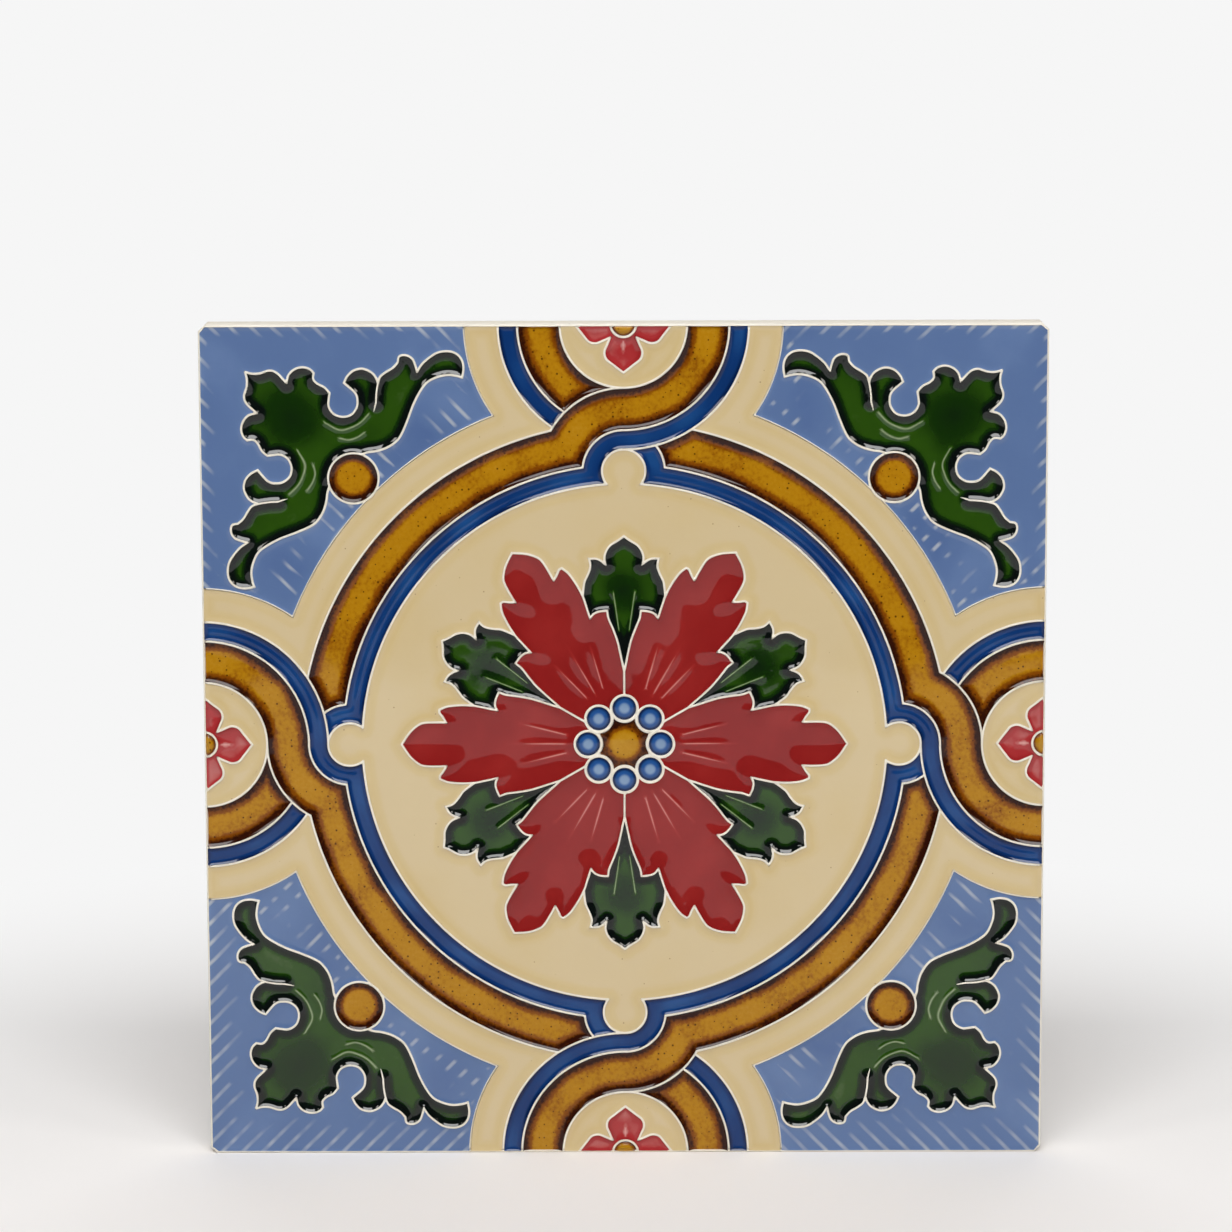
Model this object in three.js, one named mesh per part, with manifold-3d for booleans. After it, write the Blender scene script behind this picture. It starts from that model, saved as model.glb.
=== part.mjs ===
// A square relief tile of pressed white clay, stood on its lower edge with the glazed face towards -Y.
// Raised lines wall the face into shallow wells, and each well holds its own pool of coloured glaze.
// Units are millimetres. The face is drawn flat, with u to the right, v up and h out from the bedding face.

import * as THREE from 'three'
import { mergeVertices } from 'three/addons/utils/BufferGeometryUtils.js'
import Module from 'manifold-3d'

const wasm = await Module()
wasm.setup()

// The clay blank
const SIDE = 152.4
const THICKNESS = 9
const ARRIS = 0.5
const CORNER_RADIUS = 1.2
const RIM = 0.7

// Raised lines, the wells between them and the glaze in the wells
const LINE = 0.7
const THIN_LINE = 0.35
const WELL_DEPTH = 0.8
const GLAZE_BELOW_LINE = 0.25
const GLAZE_CLEARANCE = 0.1
const ARC_ERROR = 0.16

// Keyed back
const BACK_BORDER = 11
const KEY_COUNT = 8
const KEY_RIB = 5
const KEY_DEPTH = 1.5
const KEY_TAPER = 1

// Interlaced rings. One set runs round the middle of each edge of the tile, the other round its centre, and
// where they cross each band turns round a small lobe of the cream ground.
const EDGE_DISC_RADIUS = 11.4
const BAND_WIDTH = 7.6
const STRIPE_WIDTH = 3.5
const CREAM_WIDTH = 5.7
const EDGE_CREAM_WIDTH = 6.1
const LOBE_RADIUS = 3.9
const LOBE_NECK = 2.3
const BAND_CROWN = 1.1
const BAND_SECTION = [0, 0.25, 0.5, 0.75, 1]

// Bosses, by the corner leaves and at the edges
const BOSS_RADIUS = 4.55
const BOSS_OVER_RING = 0.12
const BOSS_RISE = 1.4
const BOSS_SINK = 0.2
const EDGE_BOSS_RADIUS = 2.3
const EDGE_BOSS_RISE = 0.9

// Beads round the eye
const BEAD_COUNT = 8
const BEAD_RADIUS = 2.2
const BEAD_WEB = 0.64
const BEAD_LINE = 0.48
const BEAD_RISE = 0.9
const EYE_POINT_GAP = 0.48
const EYE_BUTTON_MARGIN = 1
const EYE_RISE = 0.6

// The flower and the corner leaves are drawn by hand at one size. These are the margins left round them.
const PETAL_COUNT = 6
const PETAL_MARGIN = 7.1
const LEAF_TO_RIM = 4.45
const LEAF_TO_RING = 1.1
const EDGE_FLOWER_MARGIN = 2.7
const EDGE_FLOWER_NECK = 0.32

const HALF = SIDE / 2
const EDGE_BAND_RADIUS = EDGE_DISC_RADIUS + BAND_WIDTH
const EDGE_STRIPE_RADIUS = EDGE_BAND_RADIUS + STRIPE_WIDTH
const EDGE_CREAM_RADIUS = EDGE_STRIPE_RADIUS + EDGE_CREAM_WIDTH
const LOBE_DROP = EDGE_STRIPE_RADIUS + LOBE_RADIUS
const GROUND_RADIUS = HALF - LOBE_DROP - LOBE_NECK
const STRIPE_RADIUS = GROUND_RADIUS + STRIPE_WIDTH
const BAND_RADIUS = STRIPE_RADIUS + BAND_WIDTH
const CREAM_RADIUS = BAND_RADIUS + CREAM_WIDTH
const BOSS_REACH = (CREAM_RADIUS + BOSS_RADIUS - BOSS_OVER_RING) * Math.SQRT1_2
const BEAD_CIRCLE = (BEAD_RADIUS + BEAD_WEB / 2) / Math.sin(Math.PI / BEAD_COUNT)
const BEAD_RING = BEAD_RADIUS + BEAD_LINE
const EYE_RADIUS = BEAD_CIRCLE * Math.cos(Math.PI / BEAD_COUNT) - EYE_POINT_GAP
const EYE_BUTTON_RADIUS = BEAD_CIRCLE - BEAD_RING - EYE_BUTTON_MARGIN
const FIELD = HALF - RIM + LINE / 2
const WELL_FLOOR = THICKNESS - WELL_DEPTH
const GLAZE_TOP = THICKNESS - GLAZE_BELOW_LINE
const FRONT = THICKNESS + BOSS_RISE
const CUT_LOW = WELL_FLOOR - 1
const CUT_HIGH = FRONT + 1
const THIN_SHIFT = (LINE - THIN_LINE) / 2
const POOL_INSET = LINE / 2 + GLAZE_CLEARANCE
const QUARTER = Math.PI / 2
const CLOCKWISE = -1
const ANTICLOCKWISE = 1

const CENTRE = new THREE.Vector2(0, 0)
const EDGE = new THREE.Vector2(0, HALF)
const LOBE = new THREE.Vector2(0, HALF - LOBE_DROP)
const BOSS = new THREE.Vector2(BOSS_REACH, BOSS_REACH)

const point = (u, v) => new THREE.Vector2(u, v)
const turned = (p, angle) => p.clone().rotateAround(CENTRE, angle)
const allTurned = (points, angle) => points.map((p) => turned(p, angle))
const acrossU = (p) => point(-p.x, p.y)
const acrossV = (p) => point(p.x, -p.y)
const acrossDiagonal = (p) => point(p.y, p.x)

// One of the two points where two circles cross: side 1 lies to the left of the way from a to b.
function crossing(a, radiusA, b, radiusB, side) {
  const way = b.clone().sub(a)
  const distance = way.length()
  const along = (distance ** 2 + radiusA ** 2 - radiusB ** 2) / (2 * distance)
  const off = Math.sqrt(Math.max(radiusA ** 2 - along ** 2, 0)) * side
  way.normalize()
  return point(a.x + way.x * along - way.y * off, a.y + way.y * along + way.x * off)
}

// Points along a circle from one point to just before another, as far apart as the arc error lets them be.
function arc(centre, from, to, sense, steps) {
  const radius = from.distanceTo(centre)
  const start = from.clone().sub(centre).angle()
  let sweep = (to.clone().sub(centre).angle() - start) * sense
  if (sweep <= 0) sweep += 2 * Math.PI
  const count = steps ?? Math.max(1, Math.ceil(sweep / (2 * Math.acos(1 - ARC_ERROR / radius))))
  return Array.from({ length: count }, (_, i) => {
    const angle = start + (sense * sweep * i) / count
    return point(centre.x + radius * Math.cos(angle), centre.y + radius * Math.sin(angle))
  })
}

// Points along a smooth curve through hand-set points, without its last point.
function curve(count, ...through) {
  const points = through.map(([u, v]) => point(u, v))
  return new THREE.SplineCurve(points).getPoints(count).slice(0, -1)
}

const enlarged = (points, scale) => points.map((p) => p.clone().multiplyScalar(scale))

// Where a circle round the middle of the top edge runs out at the rim, on the right (1) or the left (-1).
function runOut(radius, side) {
  const drop = HALF - FIELD
  return point(side * Math.sqrt(radius ** 2 - drop ** 2), FIELD)
}

// Moves each side of an outline inwards, bevels the long points and drops the sides that vanish.
function inset(outline, distance) {
  const kept = withoutRepeats(THREE.ShapeUtils.isClockWise(outline) ? [...outline].reverse() : outline)
  const way = (i) => kept[(i + 1) % kept.length].clone().sub(kept.at(i)).normalize()
  const inwards = (along) => point(-along.y, along.x)
  let sides = []
  kept.forEach((p, i) => {
    const before = way(i - 1)
    const after = way(i)
    const facing = before.dot(after)
    if (before.cross(after) < 1e-6 && facing < 0.1) {
      const middle = facing < -0.999 ? before : inwards(before).add(inwards(after)).normalize()
      const from = p.clone().addScaledVector(middle, distance)
      sides.push({ from, along: point(middle.y, -middle.x) })
    }
    sides.push({ from: p.clone().addScaledVector(inwards(after), distance), along: after })
  })
  for (;;) {
    const corners = sides.map((side, i) => {
      const last = sides.at(i - 1)
      const spread = last.along.cross(side.along)
      if (Math.abs(spread) < 1e-5) return side.from.clone()
      const reach = side.from.clone().sub(last.from).cross(side.along) / spread
      return last.from.clone().addScaledVector(last.along, reach)
    })
    const next = (i) => corners[(i + 1) % corners.length].clone()
    const lengths = sides.map((side, i) => next(i).sub(corners[i]).dot(side.along))
    const shortest = lengths.indexOf(Math.min(...lengths))
    if (lengths[shortest] > 0 || sides.length < 4) return corners
    sides = sides.filter((_, i) => i !== shortest)
  }
}

// Joins the corners that faces share and leaves out faces with no width.
function closed(geometry) {
  const bare = geometry.clone()
  bare.deleteAttribute('normal')
  bare.deleteAttribute('uv')
  const merged = mergeVertices(bare, 1e-5)
  const faces = merged.index.array
  const whole = []
  for (let i = 0; i < faces.length; i += 3) {
    const [a, b, c] = faces.slice(i, i + 3)
    if (a !== b && b !== c && c !== a) whole.push(a, b, c)
  }
  merged.setIndex(whole)
  return merged
}

function solid(geometry) {
  const shape = closed(geometry)
  const mesh = new wasm.Mesh({
    numProp: 3,
    vertProperties: new Float32Array(shape.attributes.position.array),
    triVerts: new Uint32Array(shape.index.array),
  })
  return new wasm.Manifold(mesh)
}

function geometryOf(manifold) {
  const { vertProperties, triVerts } = manifold.getMesh()
  const geometry = new THREE.BufferGeometry()
  geometry.setAttribute('position', new THREE.BufferAttribute(new Float32Array(vertProperties), 3))
  geometry.setIndex([...triVerts])
  return geometry
}

const withoutRepeats = (outline) => outline.filter((p, i) => p.distanceTo(outline.at(i - 1)) > 1e-4)

function prism(outline, low, high) {
  const shape = new THREE.Shape(withoutRepeats(outline))
  return new THREE.ExtrudeGeometry(shape, { depth: high - low, bevelEnabled: false }).translate(0, 0, low)
}

function disc(centre, radius, low, high) {
  const count = Math.ceil(Math.PI / Math.acos(1 - ARC_ERROR / radius))
  const start = centre.clone().add(point(radius, 0))
  return prism(arc(centre, start, start, ANTICLOCKWISE, count), low, high)
}

// A round cushion of glaze or clay, straight up to its shoulder and domed above it.
function dome(centre, radius, low, shoulder, rise, rings = 3) {
  const profile = [point(0, low), point(radius, low)]
  for (let i = 0; i <= rings; i++) {
    const lean = (QUARTER * i) / rings
    profile.push(point(i === rings ? 0 : radius * Math.cos(lean), shoulder + rise * Math.sin(lean)))
  }
  const count = Math.ceil(Math.PI / Math.acos(1 - ARC_ERROR / radius))
  return new THREE.LatheGeometry(profile, count).rotateX(QUARTER).translate(centre.x, centre.y, 0)
}

// A band of glaze between two rails, crowned across its width.
function crownedBand({ left, right }, low, edge, crown) {
  const full = left[0].distanceTo(right[0])
  const ring = BAND_SECTION.length + 2
  const positions = []
  left.forEach((p, i) => {
    const across = right[i].clone().sub(p)
    const share = (across.length() / full) ** 2
    positions.push(p.x, p.y, low)
    for (const t of BAND_SECTION) {
      const height = edge + crown * Math.min(share, 1) * (1 - (2 * t - 1) ** 2)
      positions.push(p.x + across.x * t, p.y + across.y * t, height)
    }
    positions.push(right[i].x, right[i].y, low)
  })
  const faces = []
  const last = (left.length - 1) * ring
  for (let start = 0; start < last; start += ring) {
    for (let i = 0; i < ring; i++) {
      const here = start + i
      const beside = start + ((i + 1) % ring)
      faces.push(here, beside, beside + ring, here, beside + ring, here + ring)
    }
  }
  for (let i = 1; i < ring - 1; i++) {
    faces.push(0, i + 1, i, last, last + i, last + i + 1)
  }
  const geometry = new THREE.BufferGeometry()
  geometry.setAttribute('position', new THREE.Float32BufferAttribute(positions, 3))
  geometry.setIndex(faces)
  return closed(geometry)
}

// The amber band that passes over at the top edge and runs round to the left edge, with both sides moved in.
function longBandRails(gap) {
  const edgeLeft = turned(EDGE, QUARTER)
  const lobeLeft = turned(LOBE, QUARTER)
  const discRadius = EDGE_DISC_RADIUS + gap
  const bandRadius = EDGE_BAND_RADIUS - gap
  const outerLobe = LOBE_DROP - discRadius
  const innerLobe = LOBE_DROP - bandRadius
  const outer = BAND_RADIUS - gap
  const inner = STRIPE_RADIUS + gap
  const stripe = EDGE_STRIPE_RADIUS + gap
  const cusp = crossing(CENTRE, outer, LOBE, outerLobe, 1)
  const notch = crossing(CENTRE, inner, LOBE, innerLobe, 1)
  const farOuter = crossing(CENTRE, outer, edgeLeft, stripe, -1)
  const farInner = crossing(CENTRE, inner, lobeLeft, innerLobe, -1)
  const tip = crossing(lobeLeft, innerLobe, edgeLeft, stripe, -1)
  const rim = HALF - FIELD + gap - LINE / 2
  const start = (radius) => point(Math.sqrt(radius ** 2 - (rim + LINE / 2) ** 2), HALF - rim - LINE / 2)
  const bandTurn = point(0, HALF - bandRadius)
  const discTurn = point(0, HALF - discRadius)
  return {
    right: [
      ...arc(EDGE, start(discRadius), discTurn, CLOCKWISE, 6),
      ...arc(LOBE, discTurn, cusp, ANTICLOCKWISE, 4),
      ...arc(CENTRE, cusp, farOuter, ANTICLOCKWISE, 7),
      ...arc(edgeLeft, farOuter, tip, CLOCKWISE, 2),
      tip,
    ],
    left: [
      ...arc(EDGE, start(bandRadius), bandTurn, CLOCKWISE, 6),
      ...arc(LOBE, bandTurn, notch, ANTICLOCKWISE, 4),
      ...arc(CENTRE, notch, farInner, ANTICLOCKWISE, 7),
      ...arc(lobeLeft, farInner, tip, ANTICLOCKWISE, 2),
      tip,
    ],
  }
}

// The short amber band that dives under at the top left, from the rim down to its cut by the lobe circle.
function shortBandRails(gap) {
  const discRadius = EDGE_DISC_RADIUS + gap
  const bandRadius = EDGE_BAND_RADIUS - gap
  const cut = LOBE_DROP - EDGE_DISC_RADIUS + gap
  const rim = HALF - FIELD + gap
  const start = (radius) => point(-Math.sqrt(radius ** 2 - rim ** 2), HALF - rim)
  const near = crossing(EDGE, discRadius, LOBE, cut, -1)
  const far = crossing(EDGE, bandRadius, LOBE, cut, -1)
  return {
    right: [...arc(EDGE, start(bandRadius), far, ANTICLOCKWISE, 5), far],
    left: [...arc(EDGE, start(discRadius), near, ANTICLOCKWISE, 5), near],
  }
}

// Points where the rings cross at the top edge, shared by the stripes, the creams and the ground.
const lobeOuter = LOBE_DROP - EDGE_DISC_RADIUS
const lobeMiddle = LOBE_DROP - EDGE_BAND_RADIUS
const lobeInner = LOBE_DROP - EDGE_STRIPE_RADIUS
const bandCusp = crossing(CENTRE, BAND_RADIUS, LOBE, lobeOuter, 1)
const stripeNotch = crossing(CENTRE, STRIPE_RADIUS, LOBE, lobeMiddle, 1)
const groundNotch = crossing(CENTRE, GROUND_RADIUS, LOBE, lobeInner, 1)
const bandEnd = crossing(CENTRE, BAND_RADIUS, EDGE, EDGE_STRIPE_RADIUS, -1)
const bandTip = crossing(LOBE, lobeMiddle, EDGE, EDGE_STRIPE_RADIUS, -1)
const shortBandEnd = crossing(LOBE, lobeOuter, EDGE, EDGE_BAND_RADIUS, 1)
const shortStripeEnd = crossing(LOBE, lobeOuter, EDGE, EDGE_STRIPE_RADIUS, 1)
const bandTop = point(0, HALF - EDGE_BAND_RADIUS)
const stripeTop = point(0, HALF - EDGE_STRIPE_RADIUS)

// The dark blue stripe inside the long band: it ends by turning round the lobe at the left edge.
function longStripe() {
  const lobeLeft = turned(LOBE, QUARTER)
  const edgeLeft = turned(EDGE, QUARTER)
  const lobeStart = turned(acrossU(stripeNotch), QUARTER)
  const tip = turned(bandTip, QUARTER)
  const touch = turned(stripeTop, QUARTER)
  const lobeEnd = turned(acrossU(groundNotch), QUARTER)
  return [
    ...arc(EDGE, runOut(EDGE_BAND_RADIUS, 1), bandTop, CLOCKWISE),
    ...arc(LOBE, bandTop, stripeNotch, ANTICLOCKWISE),
    ...arc(CENTRE, stripeNotch, lobeStart, ANTICLOCKWISE),
    ...arc(lobeLeft, lobeStart, tip, ANTICLOCKWISE),
    ...arc(edgeLeft, tip, touch, CLOCKWISE),
    ...arc(lobeLeft, touch, lobeEnd, CLOCKWISE),
    ...arc(CENTRE, lobeEnd, groundNotch, CLOCKWISE),
    ...arc(LOBE, groundNotch, stripeTop, CLOCKWISE),
    ...arc(EDGE, stripeTop, runOut(EDGE_STRIPE_RADIUS, 1), ANTICLOCKWISE),
    runOut(EDGE_STRIPE_RADIUS, 1),
  ]
}

function shortStripe() {
  return [
    ...arc(EDGE, runOut(EDGE_STRIPE_RADIUS, -1), shortStripeEnd, ANTICLOCKWISE),
    ...arc(LOBE, shortStripeEnd, shortBandEnd, CLOCKWISE),
    ...arc(EDGE, shortBandEnd, runOut(EDGE_BAND_RADIUS, -1), CLOCKWISE),
    runOut(EDGE_BAND_RADIUS, -1),
  ]
}

// Cream outside the amber, between the top and right edges. Its outer line is the thin one. Its far inner
// side follows the lobe's outer circle for a little way, if that circle reaches outside both rings.
function creamBand() {
  const edgeRight = turned(EDGE, -QUARTER)
  const lobeRight = turned(LOBE, -QUARTER)
  const outer = CREAM_RADIUS + THIN_SHIFT
  const edgeOuter = EDGE_CREAM_RADIUS + THIN_SHIFT
  const cusp = crossing(CENTRE, outer, EDGE, edgeOuter, -1)
  const rightEnd = turned(runOut(edgeOuter, -1), -QUARTER)
  const roundLobe = bandCusp.y < shortStripeEnd.y
  const leave = turned(roundLobe ? bandCusp : acrossU(bandEnd), -QUARTER)
  const join = turned(roundLobe ? shortStripeEnd : acrossU(bandEnd), -QUARTER)
  const stripeOut = turned(runOut(EDGE_STRIPE_RADIUS, -1), -QUARTER)
  return [
    ...arc(EDGE, runOut(EDGE_STRIPE_RADIUS, 1), bandEnd, CLOCKWISE),
    ...arc(CENTRE, bandEnd, leave, CLOCKWISE),
    ...(roundLobe ? arc(lobeRight, leave, join, CLOCKWISE) : []),
    ...arc(edgeRight, join, stripeOut, CLOCKWISE),
    stripeOut,
    ...arc(edgeRight, rightEnd, acrossDiagonal(cusp), ANTICLOCKWISE),
    ...arc(CENTRE, acrossDiagonal(cusp), cusp, ANTICLOCKWISE),
    ...arc(EDGE, cusp, runOut(edgeOuter, 1), ANTICLOCKWISE),
    runOut(edgeOuter, 1),
  ]
}

// Half of a corner leaf, drawn from the middle of its boss and above the diagonal of the top right corner.
// It runs from the corner tip past the far tip to under the boss. The spur is a raised line into its glaze.
const leafFarTip = [-19.95, 19.8]
const leafTop = 22.8
const leafBarb = [-19.6, 18.2]
const leafFork = [1.5, 17.2]
const leafBrow = [6.9, 19]
const leafArmpit = [-10.9, 13.3]
const leafStalk = [-1.5, 4.5]
const leafNip = [-11.6, 19.1]
const spurRoot = [-4.6, 17.2]
const spurTip = [-4.2, 13.6]
const leafCrown = [
  ...curve(3, [19.2, 19.2], [16.6, 18.95], [14.8, 19.4], [11.8, 17.2]),
  ...curve(3, [11.8, 17.2], [10.6, 19.5], [8.6, 20], leafBrow),
  ...curve(6, leafBrow, [6.8, 17.5], [4.1, 15.4], [4.3, 12.9], [2, 11.1], [-0.5, 12.4], [-0.6, 15.2], leafFork),
  ...curve(3, leafFork, [0.4, 19], [-1.8, 19.7], [-3.8, 18.7], spurRoot),
]
const leafTail = [
  ...curve(2, spurRoot, [-5.3, 18.6], [-7.3, 19.9], [-8.2, 21]),
  ...curve(3, [-8.2, 21], [-8.4, 22], [-9.8, 22.1], [-11.2, 20.9], leafNip),
  ...curve(4, leafNip, [-14, 21.8], [-17.2, leafTop], [-19.6, 21.5], leafFarTip, leafBarb),
  ...curve(3, leafBarb, [-16.7, 18.5], [-13.3, 17.2], leafArmpit),
  ...curve(3, leafArmpit, [-9.3, 9.2], [-7, 6.1], [-4.1, 4.8], leafStalk),
  point(...leafStalk),
]

// The leaf is as large as fits between its boss, the rim and the edge ring, which its far tip comes nearest.
function leafScale() {
  const toRim = (FIELD - LEAF_TO_RIM - BOSS_REACH) / leafTop
  const away = BOSS.clone().sub(EDGE)
  const tip = point(...leafFarTip)
  const slope = away.dot(tip) / tip.lengthSq()
  const over = (away.lengthSq() - (EDGE_CREAM_RADIUS + LEAF_TO_RING) ** 2) / tip.lengthSq()
  const toRing = -slope - Math.sqrt(Math.max(slope ** 2 - over, 0))
  return Math.min(toRim, toRing)
}

function leaf(spur) {
  const half = enlarged([...leafCrown, ...spur.map((p) => point(...p)), ...leafTail], leafScale())
  const whole = [...half, CENTRE, ...half.slice(1).map(acrossDiagonal).reverse()]
  return whole.map((p) => p.clone().add(BOSS))
}

// The field of the top right corner, round the leaf and the boss.
function cornerField() {
  const edgeRight = turned(EDGE, -QUARTER)
  const inner = CREAM_RADIUS - THIN_SHIFT
  const edgeInner = EDGE_CREAM_RADIUS - THIN_SHIFT
  const cusp = crossing(CENTRE, inner, EDGE, edgeInner, -1)
  return [
    ...arc(EDGE, cusp, runOut(edgeInner, 1), ANTICLOCKWISE),
    runOut(edgeInner, 1),
    point(FIELD, FIELD),
    ...arc(edgeRight, acrossDiagonal(runOut(edgeInner, 1)), acrossDiagonal(cusp), ANTICLOCKWISE),
    ...arc(CENTRE, acrossDiagonal(cusp), cusp, ANTICLOCKWISE),
  ]
}

// One side of a petal that points along +u, from its tip to the parting from the next petal. The flower is as
// large as fits inside the rings, but its roots stay under the beads.
const petalTip = [40.4, 0]
const petalJoint = [27.2, 7.1]
const partingReach = 13.4
const flowerScale = (GROUND_RADIUS - PETAL_MARGIN) / petalTip[0]
const petalCrown = enlarged([
  ...curve(2, petalTip, [38.6, 2.5], [36.3, 4], [32.3, 4]),
  ...curve(1, [32.3, 4], [33.5, 6.4]),
  ...curve(2, [33.5, 6.4], [31, 7.15], petalJoint),
], flowerScale)
const petalFlank = enlarged([
  ...curve(1, petalJoint, [23, 6.2]),
  ...curve(2, [23, 6.2], [23.4, 8], [22.7, 9.6]),
  ...curve(2, [22.7, 9.6], [19.2, 8.8], [14.7, 7.7]),
  point(14.7, 7.7),
], flowerScale)
const parting = turned(point(partingReach * flowerScale, 0), Math.PI / PETAL_COUNT)
const petalRoot = turned(point(BEAD_CIRCLE + BEAD_LINE, 0), Math.PI / PETAL_COUNT)

function petal() {
  const side = [...petalCrown, ...petalFlank, parting, petalRoot]
  return [...side, ...side.slice(1).map(acrossV).reverse()]
}

// One side of a sepal that points along +v, from the joint with its petal to its tip.
const sepalTip = [0, 38]
const sepalCrown = enlarged([
  ...curve(2, [7.5, 27.2], [7.2, 29.7], [6.1, 32], [6.3, 33.9]),
  ...curve(2, [6.3, 33.9], [4.7, 33.8], [3.3, 32.8]),
  ...curve(3, [3.3, 32.8], [3.5, 34.4], [2.4, 36.4], sepalTip),
  point(...sepalTip),
], flowerScale)

function sepal() {
  const flank = allTurned(petalFlank, QUARTER - Math.PI / PETAL_COUNT).reverse()
  const side = [...flank.slice(0, -1), ...sepalCrown]
  return [point(0, parting.length()), ...side, ...side.slice(0, -1).map(acrossU).reverse()]
}

// The whole flower's edge, which bounds the cream ground inside the rings.
function flowerEdge() {
  const step = (2 * Math.PI) / PETAL_COUNT
  const petalSide = [...petalCrown.slice(1).map(acrossV).reverse(), ...petalCrown]
  const sepalSide = [...sepalCrown, ...sepalCrown.slice(1, -1).map(acrossU).reverse()]
  return Array.from({ length: PETAL_COUNT }, (_, i) => [
    ...allTurned(petalSide, i * step),
    ...allTurned(sepalSide, i * step + Math.PI / PETAL_COUNT - QUARTER),
  ]).flat()
}

function ground() {
  return Array.from({ length: 4 }, (_, i) => {
    const lobe = turned(LOBE, i * QUARTER)
    const start = turned(acrossU(groundNotch), i * QUARTER)
    const end = turned(groundNotch, i * QUARTER)
    const next = turned(acrossU(groundNotch), (i + 1) * QUARTER)
    return [...arc(lobe, start, end, ANTICLOCKWISE), ...arc(CENTRE, end, next, ANTICLOCKWISE)]
  }).flat()
}

// Half a four-petalled flower on the middle of the top edge, cut off by the rim. A petal is drawn along +v.
const edgeNotch = (EDGE_BOSS_RADIUS + LINE + EDGE_FLOWER_NECK) * Math.SQRT1_2
const edgePetalLength = EDGE_DISC_RADIUS - EDGE_FLOWER_MARGIN
const edgePetalSwell = [0.39 * edgePetalLength, 0.53 * edgePetalLength]
const edgePetalShoulder = [0.33 * edgePetalLength, 0.75 * edgePetalLength]
const edgePetalTip = [0, edgePetalLength]
const edgePetal = [
  ...curve(3, [edgeNotch, edgeNotch], edgePetalSwell, edgePetalShoulder, edgePetalTip),
  point(...edgePetalTip),
]

function edgeFlower() {
  const below = edgePetal.map((p) => point(p.x, HALF - p.y))
  const beside = edgePetal.map((p) => point(p.y, Math.min(HALF - p.x, FIELD)))
  const right = [...beside.reverse(), ...below.slice(1)]
  return [...right, ...right.slice(0, -1).map(acrossU).reverse()]
}

function edgeDisc() {
  const left = runOut(EDGE_DISC_RADIUS, -1)
  const right = runOut(EDGE_DISC_RADIUS, 1)
  return [...arc(EDGE, left, right, ANTICLOCKWISE), right, ...edgeFlower()]
}

const finish = (color, roughness = 0.15) => new THREE.MeshStandardMaterial({ color, roughness, metalness: 0 })
const clay = finish(0xe9e2d2, 0.45)
const amber = finish(0x9a6a14)
const darkBlue = finish(0x1d3f7c)
const lightBlue = finish(0x5a6f9f)
const cream = finish(0xcdb98d)
const red = finish(0x97303a)
const green = finish(0x264a10)

const face = new THREE.Group()
const wells = []

const ring = (centre, radius) => ({ centre, radius })

// Adds one pool of glaze and keeps the wells to cut for it, once for each turn round the tile. An outline is
// a list of points, or a function of how far it is moved in. What stands in a pool is a ring or an outline.
function pools(name, outline, material, turns, { standing = [], shape } = {}) {
  const moved = (gap) => (typeof outline === 'function' ? outline(gap) : inset(outline, gap))
  const cleared = (geometry, gap) => standing.reduce((room, island) => {
    const cutter = island.centre
      ? disc(island.centre, island.radius + gap, CUT_LOW, CUT_HIGH)
      : prism(inset(island, -gap), CUT_LOW, CUT_HIGH)
    return room.subtract(solid(cutter))
  }, solid(geometry))
  const well = geometryOf(cleared(prism(moved(LINE / 2), WELL_FLOOR, FRONT), LINE / 2))
  const pool = geometryOf(cleared(shape ?? prism(moved(POOL_INSET), WELL_FLOOR, GLAZE_TOP), POOL_INSET))
  turns.forEach((angle, i) => {
    wells.push(solid(well.clone().rotateZ(angle)))
    const mesh = new THREE.Mesh(pool, material)
    mesh.name = turns.length > 1 ? `${name}_${i + 1}` : name
    mesh.rotation.z = angle
    face.add(mesh)
  })
}

const around = (count) => Array.from({ length: count }, (_, i) => (2 * Math.PI * i) / count)
const quarters = around(4)
const outlineOf = ({ left, right }) => [...left, ...right.toReversed()]
const crownedPool = (rails) => crownedBand(rails(POOL_INSET), WELL_FLOOR, GLAZE_TOP, BAND_CROWN)
const bandWell = (rails) => (gap) => outlineOf(rails(gap))

const beadCentres = around(BEAD_COUNT).map((angle) => turned(point(BEAD_CIRCLE, 0), angle))
const beadLines = beadCentres.map((centre) => ring(centre, BEAD_RING - LINE / 2))
const cornerBoss = ring(BOSS, BOSS_RADIUS)
const edgeBoss = ring(EDGE, EDGE_BOSS_RADIUS)

pools('long_amber_band', bandWell(longBandRails), amber, quarters, { shape: crownedPool(longBandRails) })
pools('short_amber_band', bandWell(shortBandRails), amber, quarters, { shape: crownedPool(shortBandRails) })
pools('long_blue_stripe', longStripe(), darkBlue, quarters)
pools('short_blue_stripe', shortStripe(), darkBlue, quarters)
pools('cream_band', creamBand(), cream, quarters)
pools('corner_ground', cornerField(), lightBlue, quarters, { standing: [leaf([]), cornerBoss] })
pools('corner_leaf', leaf([spurRoot, spurTip]), green, quarters, { standing: [cornerBoss] })
pools('edge_disc', edgeDisc(), cream, quarters)
pools('edge_flower', edgeFlower(), red, quarters, { standing: [edgeBoss] })
pools('flower_ground', ground(), cream, [0], { standing: [flowerEdge()] })
pools('sepal', sepal(), green, around(PETAL_COUNT))
around(PETAL_COUNT).forEach((angle, i) => {
  pools(`petal_${i + 1}`, allTurned(petal(), angle), red, [0], { standing: beadLines })
})

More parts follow.
